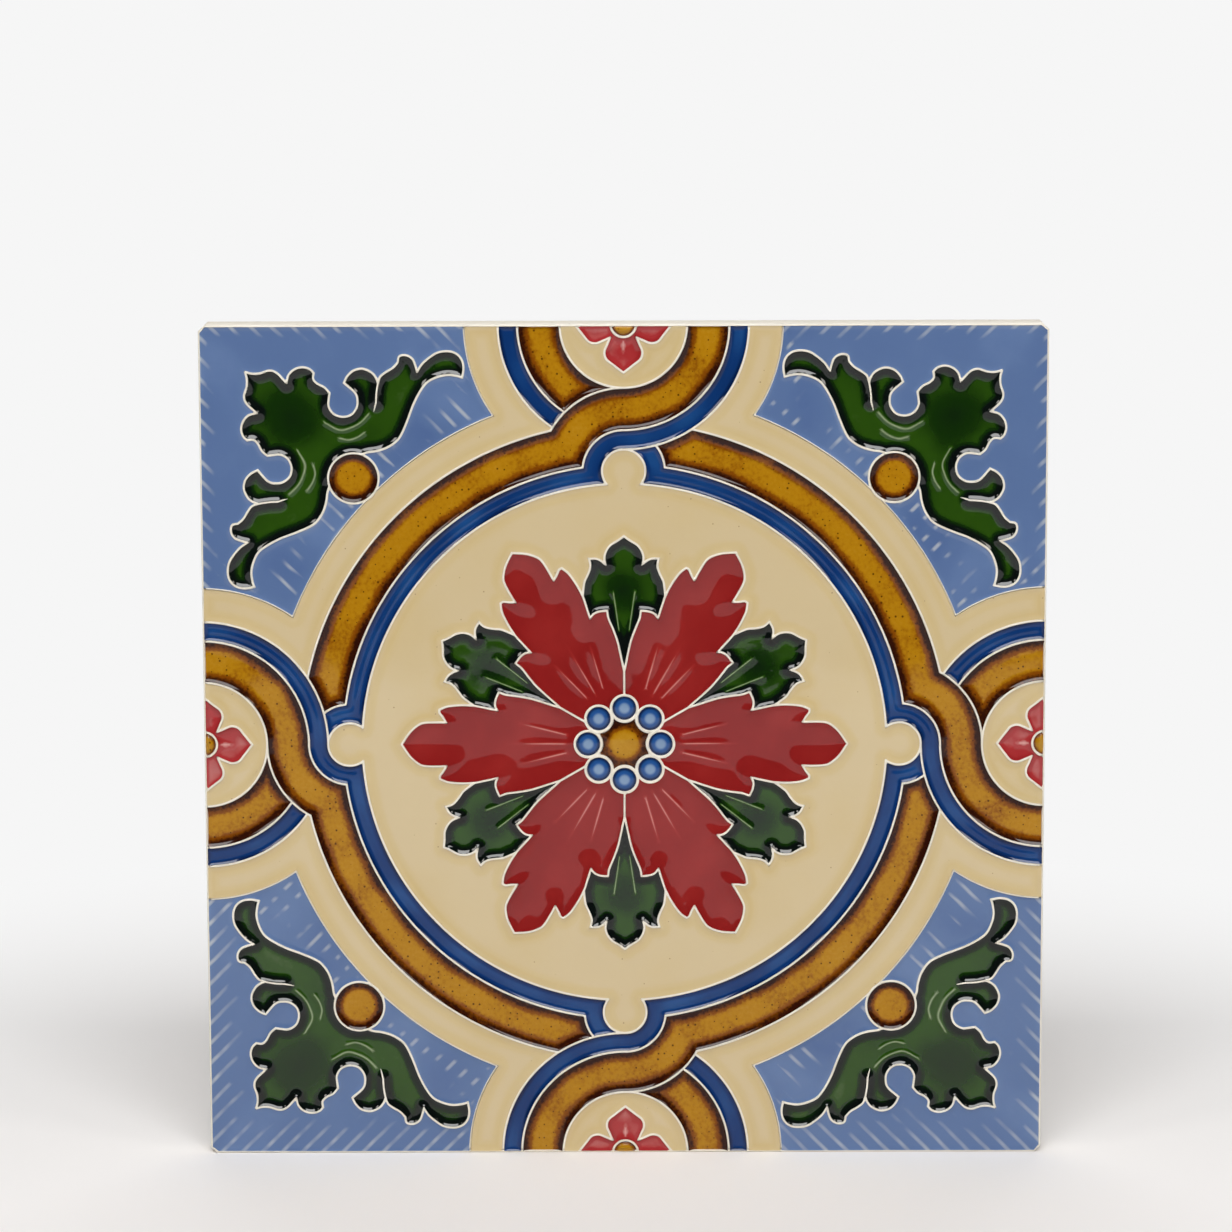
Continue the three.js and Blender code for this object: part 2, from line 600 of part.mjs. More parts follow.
// The eye: an amber button with points that reach out between the beads.
const button = dome(CENTRE, EYE_BUTTON_RADIUS, WELL_FLOOR, GLAZE_TOP, EYE_RISE)
let eye = solid(disc(CENTRE, EYE_RADIUS - POOL_INSET, WELL_FLOOR, GLAZE_TOP)).add(solid(button))
let eyeWell = solid(disc(CENTRE, EYE_RADIUS - LINE / 2, WELL_FLOOR, FRONT))
for (const { centre, radius } of beadLines) {
  eye = eye.subtract(solid(disc(centre, radius + POOL_INSET, CUT_LOW, CUT_HIGH)))
  eyeWell = eyeWell.subtract(solid(disc(centre, radius + LINE / 2, CUT_LOW, CUT_HIGH)))
}
wells.push(eyeWell)
const eyeMesh = new THREE.Mesh(geometryOf(eye), amber)
eyeMesh.name = 'eye'
face.add(eyeMesh)

// The ring of beads round the eye
beadCentres.forEach((centre, i) => {
  wells.push(solid(disc(centre, BEAD_RADIUS, WELL_FLOOR, FRONT)))
  const bead = dome(centre, BEAD_RADIUS - GLAZE_CLEARANCE, WELL_FLOOR, GLAZE_TOP, BEAD_RISE)
  const mesh = new THREE.Mesh(closed(bead), darkBlue)
  mesh.name = `bead_${i + 1}`
  face.add(mesh)
})

// The clay blank, with eased edges
function blank() {
  const reach = HALF - CORNER_RADIUS
  const corners = [point(reach, reach), point(-reach, reach), point(-reach, -reach), point(reach, -reach)]
  const outline = corners.flatMap((centre, i) => {
    const from = centre.clone().add(turned(point(CORNER_RADIUS, 0), i * QUARTER))
    const to = centre.clone().add(turned(point(CORNER_RADIUS, 0), (i + 1) * QUARTER))
    return [...arc(centre, from, to, ANTICLOCKWISE, 3), to]
  })
  const eased = {
    depth: THICKNESS - 2 * ARRIS,
    bevelThickness: ARRIS,
    bevelSize: ARRIS,
    bevelOffset: -ARRIS,
    bevelSegments: 2,
  }
  return new THREE.ExtrudeGeometry(new THREE.Shape(outline), eased).translate(0, 0, ARRIS)
}

// One keying groove of the back, wider at its mouth
function keyGroove(index) {
  const pitch = (SIDE - 2 * BACK_BORDER + KEY_RIB) / KEY_COUNT
  const height = pitch - KEY_RIB
  const middle = -HALF + BACK_BORDER + height / 2 + index * pitch
  const reach = HALF - BACK_BORDER
  const side = height / 2
  const mouth = [point(-reach, -side), point(reach, -side), point(reach, side), point(-reach, side)]
  const tapered = {
    depth: 0,
    bevelThickness: KEY_DEPTH,
    bevelSize: KEY_TAPER,
    bevelOffset: -KEY_TAPER,
    bevelSegments: 1,
  }
  return new THREE.ExtrudeGeometry(new THREE.Shape(mouth), tapered).translate(0, middle, 0)
}

let body = solid(blank())
for (const well of wells) body = body.subtract(well)
for (let i = 0; i < KEY_COUNT; i++) body = body.subtract(solid(keyGroove(i)))

// Clay bosses: a whole one by each corner leaf and half a one at the middle of each edge
const bossFloor = GLAZE_TOP - BOSS_SINK
const square = solid(new THREE.BoxGeometry(SIDE, SIDE, FRONT).translate(0, 0, FRONT / 2))
for (const angle of quarters) {
  const bossSink = BOSS_RADIUS - LINE / 2
  const halfSink = EDGE_BOSS_RADIUS - LINE / 2
  const corner = turned(BOSS, angle)
  const middle = turned(EDGE, angle)
  body = body.subtract(solid(disc(corner, bossSink, bossFloor, FRONT)))
  body = body.subtract(solid(disc(middle, halfSink, bossFloor, FRONT)))
  body = body.add(solid(dome(corner, bossSink - GLAZE_CLEARANCE, CUT_LOW, bossFloor, FRONT - bossFloor)))
  const half = solid(dome(middle, halfSink - GLAZE_CLEARANCE, CUT_LOW, bossFloor, EDGE_BOSS_RISE))
  body = body.add(half.intersect(square))
}
const bodyMesh = new THREE.Mesh(geometryOf(body), clay)
bodyMesh.name = 'tile_body'
face.add(bodyMesh)

// Stood upright: the bedding face towards +Y, the lower edge at Z = 0.
face.rotation.x = QUARTER
face.position.set(0, FRONT / 2, HALF)
const tile = new THREE.Group()
tile.add(face)

export default tile
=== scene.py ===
import math
import bpy
import numpy as np
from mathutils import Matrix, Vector, kdtree
from mathutils.geometry import delaunay_2d_cdt


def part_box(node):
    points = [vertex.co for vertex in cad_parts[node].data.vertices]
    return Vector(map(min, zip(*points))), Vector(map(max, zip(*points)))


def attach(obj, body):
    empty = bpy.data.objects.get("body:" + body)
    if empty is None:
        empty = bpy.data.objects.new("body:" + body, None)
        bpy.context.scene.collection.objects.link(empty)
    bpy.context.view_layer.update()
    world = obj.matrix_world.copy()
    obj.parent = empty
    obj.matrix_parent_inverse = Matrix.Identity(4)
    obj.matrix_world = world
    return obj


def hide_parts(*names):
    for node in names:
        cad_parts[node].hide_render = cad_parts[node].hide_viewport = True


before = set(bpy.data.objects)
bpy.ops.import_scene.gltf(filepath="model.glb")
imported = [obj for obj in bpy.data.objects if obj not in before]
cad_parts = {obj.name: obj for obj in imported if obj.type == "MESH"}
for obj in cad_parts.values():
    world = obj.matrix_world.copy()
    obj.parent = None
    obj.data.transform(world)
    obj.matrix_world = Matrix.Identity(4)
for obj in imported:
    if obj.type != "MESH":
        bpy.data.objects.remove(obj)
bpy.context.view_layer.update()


# Tile body. The real one is a single slab of white clay, pressed in an iron mould that leaves raised lines on
# its face and keying grooves in its back. A clear glaze runs thin over the lines, so they show cream.
clay_low, clay_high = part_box("tile_body")

# The face is drawn flat in millimetres: u to the right and v up from the middle of the tile, and the height
# out from the bedding face towards the viewer. On the standing tile these become +X, +Z and -Y.
SIDE = (clay_high[0] - clay_low[0]) * 1000
HALF = SIDE / 2
BEDDING = clay_high[1] * 1000
THICKNESS = 9.0
FACE_RIM = THICKNESS - 0.05
WELL_FLOOR = 8.2
ARRIS = 0.5
CORNER_RADIUS = 1.2
RIM = 0.35

# Widths of the raised lines, and their rounded section
LINE, THIN_LINE, BEAD_LINE, VEIN_LINE = 0.5, 0.28, 0.58, 0.24
CROWN = 0.1
FLANK, FLANK_INSIDE = 0.3, 0.1
VEIN_DROP = 0.65
CLAY_WAVER = 0.012

# Radii of the lines round the middle of an edge, then round the middle of the tile
EDGE_DISC, EDGE_BAND, EDGE_STRIPE, EDGE_CREAM = 11.4, 19.0, 22.5, 28.6
GROUND, STRIPE, BAND, CREAM = 47.5, 51.0, 58.6, 64.3
# The bands cross round a lobe on each side, whose middle lies this far in from the edge
LOBE_DROP = 26.4
LOBE_OUTER = LOBE_DROP - EDGE_DISC
LOBE_MIDDLE = LOBE_DROP - EDGE_BAND
LOBE_INNER = LOBE_DROP - EDGE_STRIPE
# Bosses and beads; the petals' edges meet at the parting, and their parting lines run on to the root
BOSS_REACH = 48.6
BOSS_RADIUS = 4.55
EDGE_BOSS = 2.3
BEADS = 8
BEAD_CIRCLE = 6.58
BEAD_RADIUS = 2.44
PETALS = 6
PARTING = 13.4
PETAL_ROOT = 7.0

FIELD = HALF - RIM + LINE / 2
CENTRE = np.array((0.0, 0.0))
EDGE = np.array((0.0, HALF))
LOBE = np.array((0.0, HALF - LOBE_DROP))
BOSS = np.array((BOSS_REACH, BOSS_REACH))
QUARTER = math.pi / 2
SIXTH = math.pi / 3
quarters = [i * QUARTER for i in range(4)]
sixths = [i * SIXTH for i in range(PETALS)]
CW, CCW = -1, 1
STEP = 0.4


def points_at(u, v):
    return np.stack(np.broadcast_arrays(u, v), -1)


def turned(points, angle):
    points = np.asarray(points, float)
    c, s = math.cos(angle), math.sin(angle)
    return points_at(points[..., 0] * c - points[..., 1] * s, points[..., 0] * s + points[..., 1] * c)


def on_left(points):
    """The same points of the tile's pattern a quarter turn on, at its left edge."""
    return turned(points, QUARTER)


def on_right(points):
    return turned(points, -QUARTER)


def across_u(points):
    return np.asarray(points) * (-1, 1)


def across_v(points):
    return np.asarray(points) * (1, -1)


def mirrored(points):
    """The same points of the pattern on the other side of the tile's diagonal."""
    return np.asarray(points)[..., ::-1]


def left_of(way):
    return points_at(-way[..., 1], way[..., 0])


def crossing(a, radius_a, b, radius_b, side):
    """Where two circles cross; side 1 is to the left of the way from a to b."""
    way = b - a
    distance = math.hypot(*way)
    way = way / distance
    along = (distance ** 2 + radius_a ** 2 - radius_b ** 2) / (2 * distance)
    off = math.sqrt(max(radius_a ** 2 - along ** 2, 0)) * side
    return a + way * along + left_of(way) * off


def arc(centre, start, end, sense):
    """Points along a circle from start to end, about a step apart, both ends included."""
    radius = math.hypot(*(start - centre))
    first = math.atan2(*(start - centre)[::-1])
    sweep = (math.atan2(*(end - centre)[::-1]) - first) * sense % (2 * math.pi) or 2 * math.pi
    angle = first + sense * np.linspace(0, sweep, max(2, math.ceil(sweep * radius / STEP) + 1))
    return centre + radius * points_at(np.cos(angle), np.sin(angle))


def circle(centre, radius):
    start = centre + (radius, 0.0)
    return arc(centre, start, start, CCW)


def straight(start, end):
    start, end = np.asarray(start, float), np.asarray(end, float)
    t = np.linspace(0, 1, max(2, math.ceil(math.hypot(*(end - start)) / STEP) + 1))[:, None]
    return start + (end - start) * t


def path(start, *legs):
    """Lines that follow each other. A leg has a centre, an end and a sense; a straight one has no centre."""
    pieces = []
    for centre, end, sense in legs:
        pieces.append(straight(start, end) if centre is None else arc(centre, start, end, sense))
        start = np.asarray(end, float)
    return pieces


def smooth(*through):
    """Points a step apart along a smooth curve through given points."""
    keys = np.array(through, float)
    padded = np.vstack((2 * keys[0] - keys[1], keys, 2 * keys[-1] - keys[-2]))
    pieces = []
    for i in range(len(keys) - 1):
        p, q, r, s = padded[i:i + 4]
        t = np.linspace(0, 1, max(2, math.ceil(math.hypot(*(r - q)) / STEP) + 1))[:-1, None]
        pieces.append(0.5 * (2 * q + (r - p) * t + (2 * p - 5 * q + 4 * r - s) * t ** 2
                             + (3 * q - p - 3 * r + s) * t ** 3))
    return np.vstack(pieces + [keys[-1:]])


def joined(*pieces):
    """One outline from pieces that follow each other, without the points that repeat."""
    points = np.vstack(pieces)
    apart = np.hypot(*(points - np.roll(points, 1, axis=0)).T) > 1e-4
    return points[apart]


def curves(start, *runs):
    """Smooth curves that meet in sharp corners: each run of points goes on from the end of the one before."""
    pieces = []
    for run in runs:
        pieces.append(smooth(start, *run))
        start = run[-1]
    return joined(*pieces)


def run_out(radius, side):
    """Where a circle round the middle of the top edge meets the rim, on the right (1) or the left (-1)."""
    drop = HALF - FIELD
    return np.array((side * math.sqrt(radius ** 2 - drop ** 2), FIELD))


edge_left, lobe_left = on_left(EDGE), on_left(LOBE)
edge_right, lobe_right = on_right(EDGE), on_right(LOBE)
disc_turn, band_turn, stripe_turn = (EDGE - (0, radius) for radius in (EDGE_DISC, EDGE_BAND, EDGE_STRIPE))
band_cusp = crossing(CENTRE, BAND, LOBE, LOBE_OUTER, 1)
stripe_notch = crossing(CENTRE, STRIPE, LOBE, LOBE_MIDDLE, 1)
ground_notch = crossing(CENTRE, GROUND, LOBE, LOBE_INNER, 1)
left_stripe_notch, left_ground_notch = on_left(across_u(stripe_notch)), on_left(across_u(ground_notch))
band_end = crossing(CENTRE, BAND, EDGE, EDGE_STRIPE, -1)
band_tip = crossing(LOBE, LOBE_MIDDLE, EDGE, EDGE_STRIPE, -1)
short_band_end = crossing(LOBE, LOBE_OUTER, EDGE, EDGE_BAND, 1)
short_stripe_end = crossing(LOBE, LOBE_OUTER, EDGE, EDGE_STRIPE, 1)
cream_cusp = crossing(CENTRE, CREAM, EDGE, EDGE_CREAM, -1)
cream_end = run_out(EDGE_CREAM, 1)
leaf_seat = BOSS + BOSS_RADIUS * np.array((-0.316, 0.949))

leaf_crown = curves(
    (67.8, 67.8), [(66.6, 67.5), (65.2, 67.55), (63.5, 68.05), (62.1, 67.6), (60.4, 65.8)],
    [(60.0, 67.3), (58.9, 68.3), (57.5, 68.65), (56.2, 68.3), (55.5, 67.6)],
    [(55.6, 66.5), (54.9, 65.7), (53.6, 65.0), (52.7, 64.0)],
    [(52.85, 62.9), (52.9, 61.6), (52.1, 60.3), (50.6, 59.7), (49.0, 60.0), (48.0, 61.1), (47.7, 62.4),
     (48.1, 64.0), (50.1, 65.8)],
    [(49.5, 67.0), (48.4, 68.0), (46.8, 68.35), (45.2, 67.7), (44.4, 66.8), (44.0, 65.8)],
)
leaf_spur = smooth((44.0, 65.8), (44.3, 64.0), (44.4, 62.2))
leaf_tail = curves(
    (44.0, 65.8), [(43.6, 66.9), (42.6, 67.7), (41.3, 68.5), (40.4, 69.5)],
    [(40.25, 70.4), (39.7, 70.75), (38.7, 70.7), (37.8, 70.1), (37.3, 69.0), (37.0, 67.7)],
    [(36.2, 69.0), (34.9, 70.2), (33.3, 71.2), (31.4, 71.45), (29.9, 71.0), (28.95, 69.9), (28.65, 68.4),
     (28.9, 66.7)],
    [(29.8, 67.0), (31.7, 67.2), (33.7, 66.7), (35.3, 65.8), (36.5, 64.2), (37.7, 61.9), (38.8, 59.0),
     (39.9, 56.5), (40.9, 55.2), (42.6, 54.1), (44.5, 53.5), (46.0, 53.3), leaf_seat],
)
leaf_veins = [line for vein in (
    smooth((53.6, 58.6), (51.0, 57.3), (48.8, 57.8), (47.2, 58.7), (45.9, 60.0)),
    smooth((50.9, 55.8), (49.4, 55.5), (47.8, 56.0), (46.6, 56.8)),
) for line in (vein, mirrored(vein))]

petal_joint = (27.2, 7.1)
petal_crown = curves(
    (40.4, 0.0), [(38.9, 2.2), (37.3, 3.6), (36.0, 4.0), (33.9, 4.05), (32.3, 4.0)],
    [(32.9, 5.0), (33.5, 5.8), (33.5, 6.4)],
    [(31.9, 7.0), (29.3, 7.2), petal_joint],
)
petal_flank = curves(
    petal_joint, [(26.6, 7.0), (24.3, 6.5), (23.0, 6.2)],
    [(23.4, 7.1), (23.3, 8.2), (22.7, 9.6)],
    [(21.4, 9.1), (19.2, 8.8), (17.0, 8.4), (14.7, 7.7), (12.9, 7.1), turned((PARTING, 0), SIXTH / 2)],
)
sepal_crown = curves(
    turned(petal_joint, SIXTH),
    [(7.3, 28.6), (7.1, 29.8), (6.6, 30.85), (6.15, 32.0), (6.05, 32.9), (6.3, 33.9)],
    [(5.0, 33.9), (4.1, 33.5), (3.3, 32.8)],
    [(3.5, 33.5), (3.5, 34.4), (3.15, 35.4), (2.4, 36.4), (1.1, 37.2), (0.0, 38.0)],
)
sepal_vein = smooth((1.9, 27.5), (1.4, 24.0), (0.95, 21.0))
sepal_veins = [sepal_vein, across_u(sepal_vein)]

flower_petal = curves((2.35, 2.35), [(2.9, 3.6), (3.4, 4.9), (3.1, 6.2), (1.8, 7.3), (0.0, 8.7)])
flower_side = joined(
    points_at(flower_petal[:, 1], np.minimum(HALF - flower_petal[:, 0], FIELD))[::-1],
    points_at(flower_petal[:, 0], HALF - flower_petal[:, 1]),
)
flower_edge = joined(flower_side, across_u(flower_side)[::-1])
disc_edge = arc(EDGE, run_out(EDGE_DISC, -1), run_out(EDGE_DISC, 1), CCW)
edge_boss_ring = arc(EDGE, run_out(EDGE_BOSS, -1), run_out(EDGE_BOSS, 1), CCW)
bead_centres = [turned((BEAD_CIRCLE, 0), i * QUARTER / 2) for i in range(BEADS)]
BEAD_REACH = math.asin(BEAD_RADIUS / BEAD_CIRCLE)


def round_beads(first, last, side, count=40):
    """The outline that the bead rings cut outside (1) or inside (-1) their circle, between two directions."""
    angle = np.linspace(first, last, count)
    spacing = QUARTER / 2
    off = np.clip(angle - np.round(angle / spacing) * spacing, -BEAD_REACH, BEAD_REACH)
    across = np.sqrt(np.maximum(BEAD_RADIUS ** 2 - (BEAD_CIRCLE * np.sin(off)) ** 2, 0))
    radius = BEAD_CIRCLE * np.cos(off) + side * across
    return points_at(radius * np.cos(angle), radius * np.sin(angle))


def petal_part(direction):
    """The line between two petals, from where their edges meet to the bead rings."""
    return straight(turned((PARTING, 0), direction), round_beads(direction, direction, 1, 1)[0])


quarter_lines = [
    disc_edge,
    arc(EDGE, run_out(EDGE_BAND, 1), band_turn, CW),
    arc(EDGE, run_out(EDGE_BAND, -1), short_band_end, CCW),
    arc(EDGE, run_out(EDGE_STRIPE, 1), stripe_turn, CW),
    arc(EDGE, run_out(EDGE_STRIPE, -1), short_stripe_end, CCW),
    arc(LOBE, disc_turn, band_cusp, CCW),
    arc(LOBE, band_turn, stripe_notch, CCW),
    arc(LOBE, across_u(stripe_notch), band_tip, CCW),
    arc(LOBE, across_u(ground_notch), ground_notch, CCW),
    arc(CENTRE, band_cusp, on_left(band_end), CCW),
    arc(CENTRE, stripe_notch, left_stripe_notch, CCW),
    arc(CENTRE, ground_notch, left_ground_notch, CCW),
    circle(BOSS, BOSS_RADIUS),
    leaf_crown, leaf_tail, leaf_spur,
    mirrored(leaf_crown), mirrored(leaf_tail), mirrored(leaf_spur),
    flower_edge,
    edge_boss_ring,
    straight((-FIELD, FIELD), (FIELD, FIELD)),
]
quarter_thin_lines = [
    arc(EDGE, cream_cusp, cream_end, CCW),
    arc(edge_right, mirrored(cream_end), mirrored(cream_cusp), CCW),
    arc(CENTRE, mirrored(cream_cusp), cream_cusp, CCW),
]
sixth_lines = [
    petal_crown, petal_flank, across_v(petal_crown), across_v(petal_flank),
    turned(sepal_crown, -SIXTH), turned(across_u(sepal_crown), -SIXTH),
]


def repeated(group, turns):
    return [turned(line, angle) for angle in turns for line in group]


lines = {
    LINE: repeated(quarter_lines, quarters) + repeated(sixth_lines, sixths)
    + [petal_part((i + 0.5) * SIXTH) for i in range(PETALS)],
    THIN_LINE: repeated(quarter_thin_lines, quarters),
    BEAD_LINE: [circle(centre, BEAD_RADIUS) for centre in bead_centres],
    VEIN_LINE: repeated(leaf_veins, quarters) + repeated(sepal_veins, sixths),
}


def sample_tree(polylines, spacing=0.08):
    """A search tree over points close together along the polylines."""
    samples = []
    for line in polylines:
        steps = np.hypot(*np.diff(line, axis=0).T)
        run = np.concatenate(((0,), np.cumsum(steps)))
        at = np.linspace(0, run[-1], max(2, math.ceil(run[-1] / spacing)))
        samples.append(points_at(np.interp(at, run, line[:, 0]), np.interp(at, run, line[:, 1])))
    samples = np.vstack(samples)
    tree = kdtree.KDTree(len(samples))
    for i, (u, v) in enumerate(samples):
        tree.insert((u, v, 0), i)
    tree.balance()
    return tree


def distance_to(tree, points):
    return np.array([tree.find((u, v, 0))[2] for u, v in points])


def away(points, spot):
    return np.hypot(*(points - spot).T)


def eased(t):
    t = np.clip(t, 0, 1)
    return t * t * (3 - 2 * t)


def wander(points, size, seed):
    """A slow, smooth wander from -1 to 1 over the face, made of a few crossing waves."""
    waves = np.random.default_rng(seed).normal(size=(7, 4))
    total = np.zeros(len(points))
    for a, b, phase, weight in waves:
        wave = np.sin((points[:, 0] * a + points[:, 1] * b) * 2 / size + phase * 3)
        total += wave * (0.6 + abs(weight) * 0.4)
    return np.clip(total / 3.2, -1, 1)


line_trees = {width: sample_tree(group) for width, group in lines.items()}


def clay_height(points):
    """The clay's face: flat well floors, and raised lines with rounded tops and steep flanks."""
    height = np.full(len(points), WELL_FLOOR)
    for width, tree in line_trees.items():
        off = distance_to(tree, points)
        half = width / 2
        fall = eased((off - half + FLANK_INSIDE) / FLANK)
        drop = VEIN_DROP if width == VEIN_LINE else 0.0
        crest = THICKNESS - drop - CROWN * np.minimum(off / half, 1.4) ** 2
        height = np.maximum(height, crest - (crest - WELL_FLOOR) * fall)
    outside = np.abs(points).max(axis=1) > FIELD
    height[outside] = np.maximum(height[outside], FACE_RIM)
    return height + CLAY_WAVER * wander(points, 3, 1)


def inside(polygon, points):
    """Which points lie inside a closed outline."""
    u, v = points.T
    found = np.zeros(len(points), bool)
    for (a, b), (c, d) in zip(polygon, np.roll(polygon, -1, axis=0)):
        if b == d:
            continue
        crosses = (b > v) != (d > v)
        found ^= crosses & (u < (c - a) * (v - b) / (d - b) + a)
    return found


def between(rims, points):
    """Which points lie inside the first outline and outside the others."""
    found = inside(rims[0], points)
    for rim in rims[1:]:
        found &= ~inside(rim, points)
    return found


def triangles(rims, inner):
    """Delaunay triangles over the rims' points and the inner ones, between the first rim and the others."""
    edges, start = [], 0
    for rim in rims:
        edges += [(start + i, start + (i + 1) % len(rim)) for i in range(len(rim))]
        start += len(rim)
    out = delaunay_2d_cdt([Vector(p) for p in np.vstack(rims + inner)], edges, [], 0, 1e-7, False)
    spots, faces = np.array([tuple(p) for p in out[0]]), np.array(out[2])
    return spots, faces[between(rims, spots[faces].mean(axis=1))]


def wall(first, second, count):
    """Faces that close the gap between two rings of points."""
    return [(first + i, second + i, second + (i + 1) % count, first + (i + 1) % count) for i in range(count)]


def standing(points, height):
    """Face coordinates as places on the standing tile, in metres."""
    return np.stack(np.broadcast_arrays(points[:, 0], BEDDING - height, points[:, 1] + HALF), -1) / 1000


def mesh_piece(name, places, faces, material, sharp=40):
    mesh = bpy.data.meshes.new(name)
    mesh.from_pydata(places.tolist(), [], [tuple(int(i) for i in face) for face in faces])
    mesh.update()
    mesh.shade_smooth()
    mesh.set_sharp_from_angle(angle=math.radians(sharp))
    mesh.materials.append(material)
    piece = bpy.data.objects.new(name, mesh)
    bpy.context.collection.objects.link(piece)
    return piece


RIM_POINTS = 880
FACE_GRID, BACK_GRID = 2.5, 3.0


def rounded_square(half, radius):
    """A square with round corners, with the same number of points whatever its size."""
    reach = half - radius
    angle = np.linspace(-QUARTER / 2, QUARTER / 2, RIM_POINTS // 4, endpoint=False)
    side = np.tan(angle) * half
    over = np.clip(np.abs(side) - reach, 0, None)
    bend = np.sqrt(np.maximum(radius ** 2 - np.minimum(over, radius) ** 2, 0))
    one_side = points_at(np.where(over > 0, reach + bend, half), side)
    return np.vstack([turned(one_side, turn) for turn in quarters])


def square_grid(pitch):
    ticks = np.arange(-75.0, 75.1, pitch)
    return np.stack(np.meshgrid(ticks, ticks), -1).reshape(-1, 2)


def unique(points, apart):
    cells = np.round(points / apart).astype(int)
    return points[np.unique(cells, axis=0, return_index=True)[1]]


def beside(line, offsets):
    """Rows of points along a line, at each distance to its left."""
    way = np.gradient(line, axis=0)
    way /= np.hypot(*way.T)[:, None] + 1e-12
    return [line + left_of(way) * off for off in offsets]


def beside_lines():
    """Points in rows along every raised line, close enough to hold its rounded section."""
    rows = []
    for width, group in lines.items():
        half = width / 2
        for line in group:
            rows += beside(line, (0, 0.6 * half, -0.6 * half, half, -half, half + 0.18, -half - 0.18))
    return rows


# The back's keying grooves have sloped walls and soft corners, between a flat border and flat ribs.
BACK_BORDER = 11.0
KEY_COUNT = 8
KEY_RIB = 5.0
KEY_DEPTH = 1.5
KEY_TAPER = 1.0
KEY_CORNER = 2.0
KEY_PITCH = (SIDE - 2 * BACK_BORDER + KEY_RIB) / KEY_COUNT
KEY_REACH = HALF - BACK_BORDER
WALL_ROWS = (-0.1, 0.0, 0.2, 0.45, 0.7, 0.95, 1.2)


def into_groove(points):
    """How far a point of the back lies inside the mouth of its keying groove."""
    u, v = points.T
    half = (KEY_PITCH - KEY_RIB) / 2
    row = np.clip(np.floor((v + KEY_REACH + KEY_RIB / 2) / KEY_PITCH), 0, KEY_COUNT - 1)
    middle = -KEY_REACH + half + row * KEY_PITCH
    past_u, past_v = np.abs(u) - (KEY_REACH - KEY_CORNER), np.abs(v - middle) - (half - KEY_CORNER)
    outside = np.hypot(np.maximum(past_u, 0), np.maximum(past_v, 0))
    return KEY_CORNER - outside - np.minimum(np.maximum(past_u, past_v), 0)


def back_height(points):
    deep = KEY_DEPTH * eased(into_groove(points) / KEY_TAPER)
    return deep + 0.02 * np.abs(wander(points, 6, 9)) * (deep > 0.01)


def back_patch(rim):
    """The back's points and triangles, with rows of points along the walls of the grooves."""
    rows = []
    across = np.arange(-KEY_REACH - 2.5, KEY_REACH + 2.6, 1.75)
    for k in range(KEY_COUNT):
        low = -KEY_REACH + k * KEY_PITCH
        for side, start in ((1, low), (-1, low + KEY_PITCH - KEY_RIB)):
            rows += [points_at(across, start + side * off) for off in WALL_ROWS]
    up = np.arange(-KEY_REACH, KEY_REACH + 0.1, 0.8)
    for off in WALL_ROWS + (1.6, 2.2):
        rows += [points_at(KEY_REACH - off, up), points_at(off - KEY_REACH, up)]
    inner = np.vstack(rows + [square_grid(BACK_GRID)])
    inner = inner[np.abs(inner).max(axis=1) < HALF - ARRIS - 0.3]
    return triangles([rim], [unique(inner, apart=0.05)])


def body_mesh(material):
    rim = rounded_square(HALF - ARRIS, CORNER_RADIUS - ARRIS)
    inner = np.vstack(beside_lines() + [square_grid(FACE_GRID)])
    inner = inner[np.abs(inner).max(axis=1) < HALF - ARRIS - 0.12]
    points, faces = triangles([rim], [unique(inner, apart=0.085)])
    places = [standing(points, clay_height(points))]
    for level, inwards, leans in ((FACE_RIM, -1, (0.25, 0.5, 0.75, 1.0)), (0.0, 1, (1.0, 0.5))):
        for lean in leans:
            off = ARRIS * (1 - math.sin(lean * QUARTER))
            down = ARRIS * (1 - math.cos(lean * QUARTER))
            places.append(standing(rounded_square(HALF - off, CORNER_RADIUS - off), level + inwards * down))
    back_points, back_faces = back_patch(rim)
    places.append(standing(back_points, back_height(back_points)))
    starts = np.cumsum([0] + [len(ring) for ring in places])
    all_faces = list(faces)
    for first, second in zip(starts, starts[1:-1]):
        all_faces += wall(first, second, RIM_POINTS)
    all_faces += [face[::-1] + starts[-2] for face in back_faces]
    return mesh_piece("pressed_clay_body", np.vstack(places), all_faces, material, 50)


def wire(tree, node, **settings):
    """Sets up a shader node; a setting is a socket's value, or an output to link to it."""
    for name, value in settings.items():
        key = name.replace("_", " ")
        if hasattr(node, name):
            setattr(node, name, value)
            continue
        socket = node.inputs[int(key[3:])] if key.startswith("in ") else node.inputs[key]
        if isinstance(value, bpy.types.NodeSocket):
            tree.links.new(value, socket)
        else:
            socket.default_value = value
    return node


def add(tree, kind, **settings):
    return wire(tree, tree.nodes.new(kind), **settings)


def calc(tree, operation, a, b, clamp=False):
    return add(tree, "ShaderNodeMath", operation=operation, use_clamp=clamp, in_0=a, in_1=b).outputs[0]


def noise(tree, place, scale, detail):
    return add(tree, "ShaderNodeTexNoise", Vector=place, Scale=scale, Detail=detail).outputs[0]


def drift(tree, place, scale, detail, amount):
    """A noise that goes as far to either side of nothing."""
    return calc(tree, "MULTIPLY", calc(tree, "SUBTRACT", noise(tree, place, scale, detail), 0.5), amount)


def placed(tree, effect, place, **values):
    """Puts a group into a material at a place, with the material's own values; gives its outputs."""
    return add(tree, "ShaderNodeGroup", node_tree=effect, Place=place, **values).outputs


def mixed(tree, factor, a, b):
    return add(tree, "ShaderNodeMix", data_type="RGBA", Factor=factor, in_6=a, in_7=b).outputs[2]


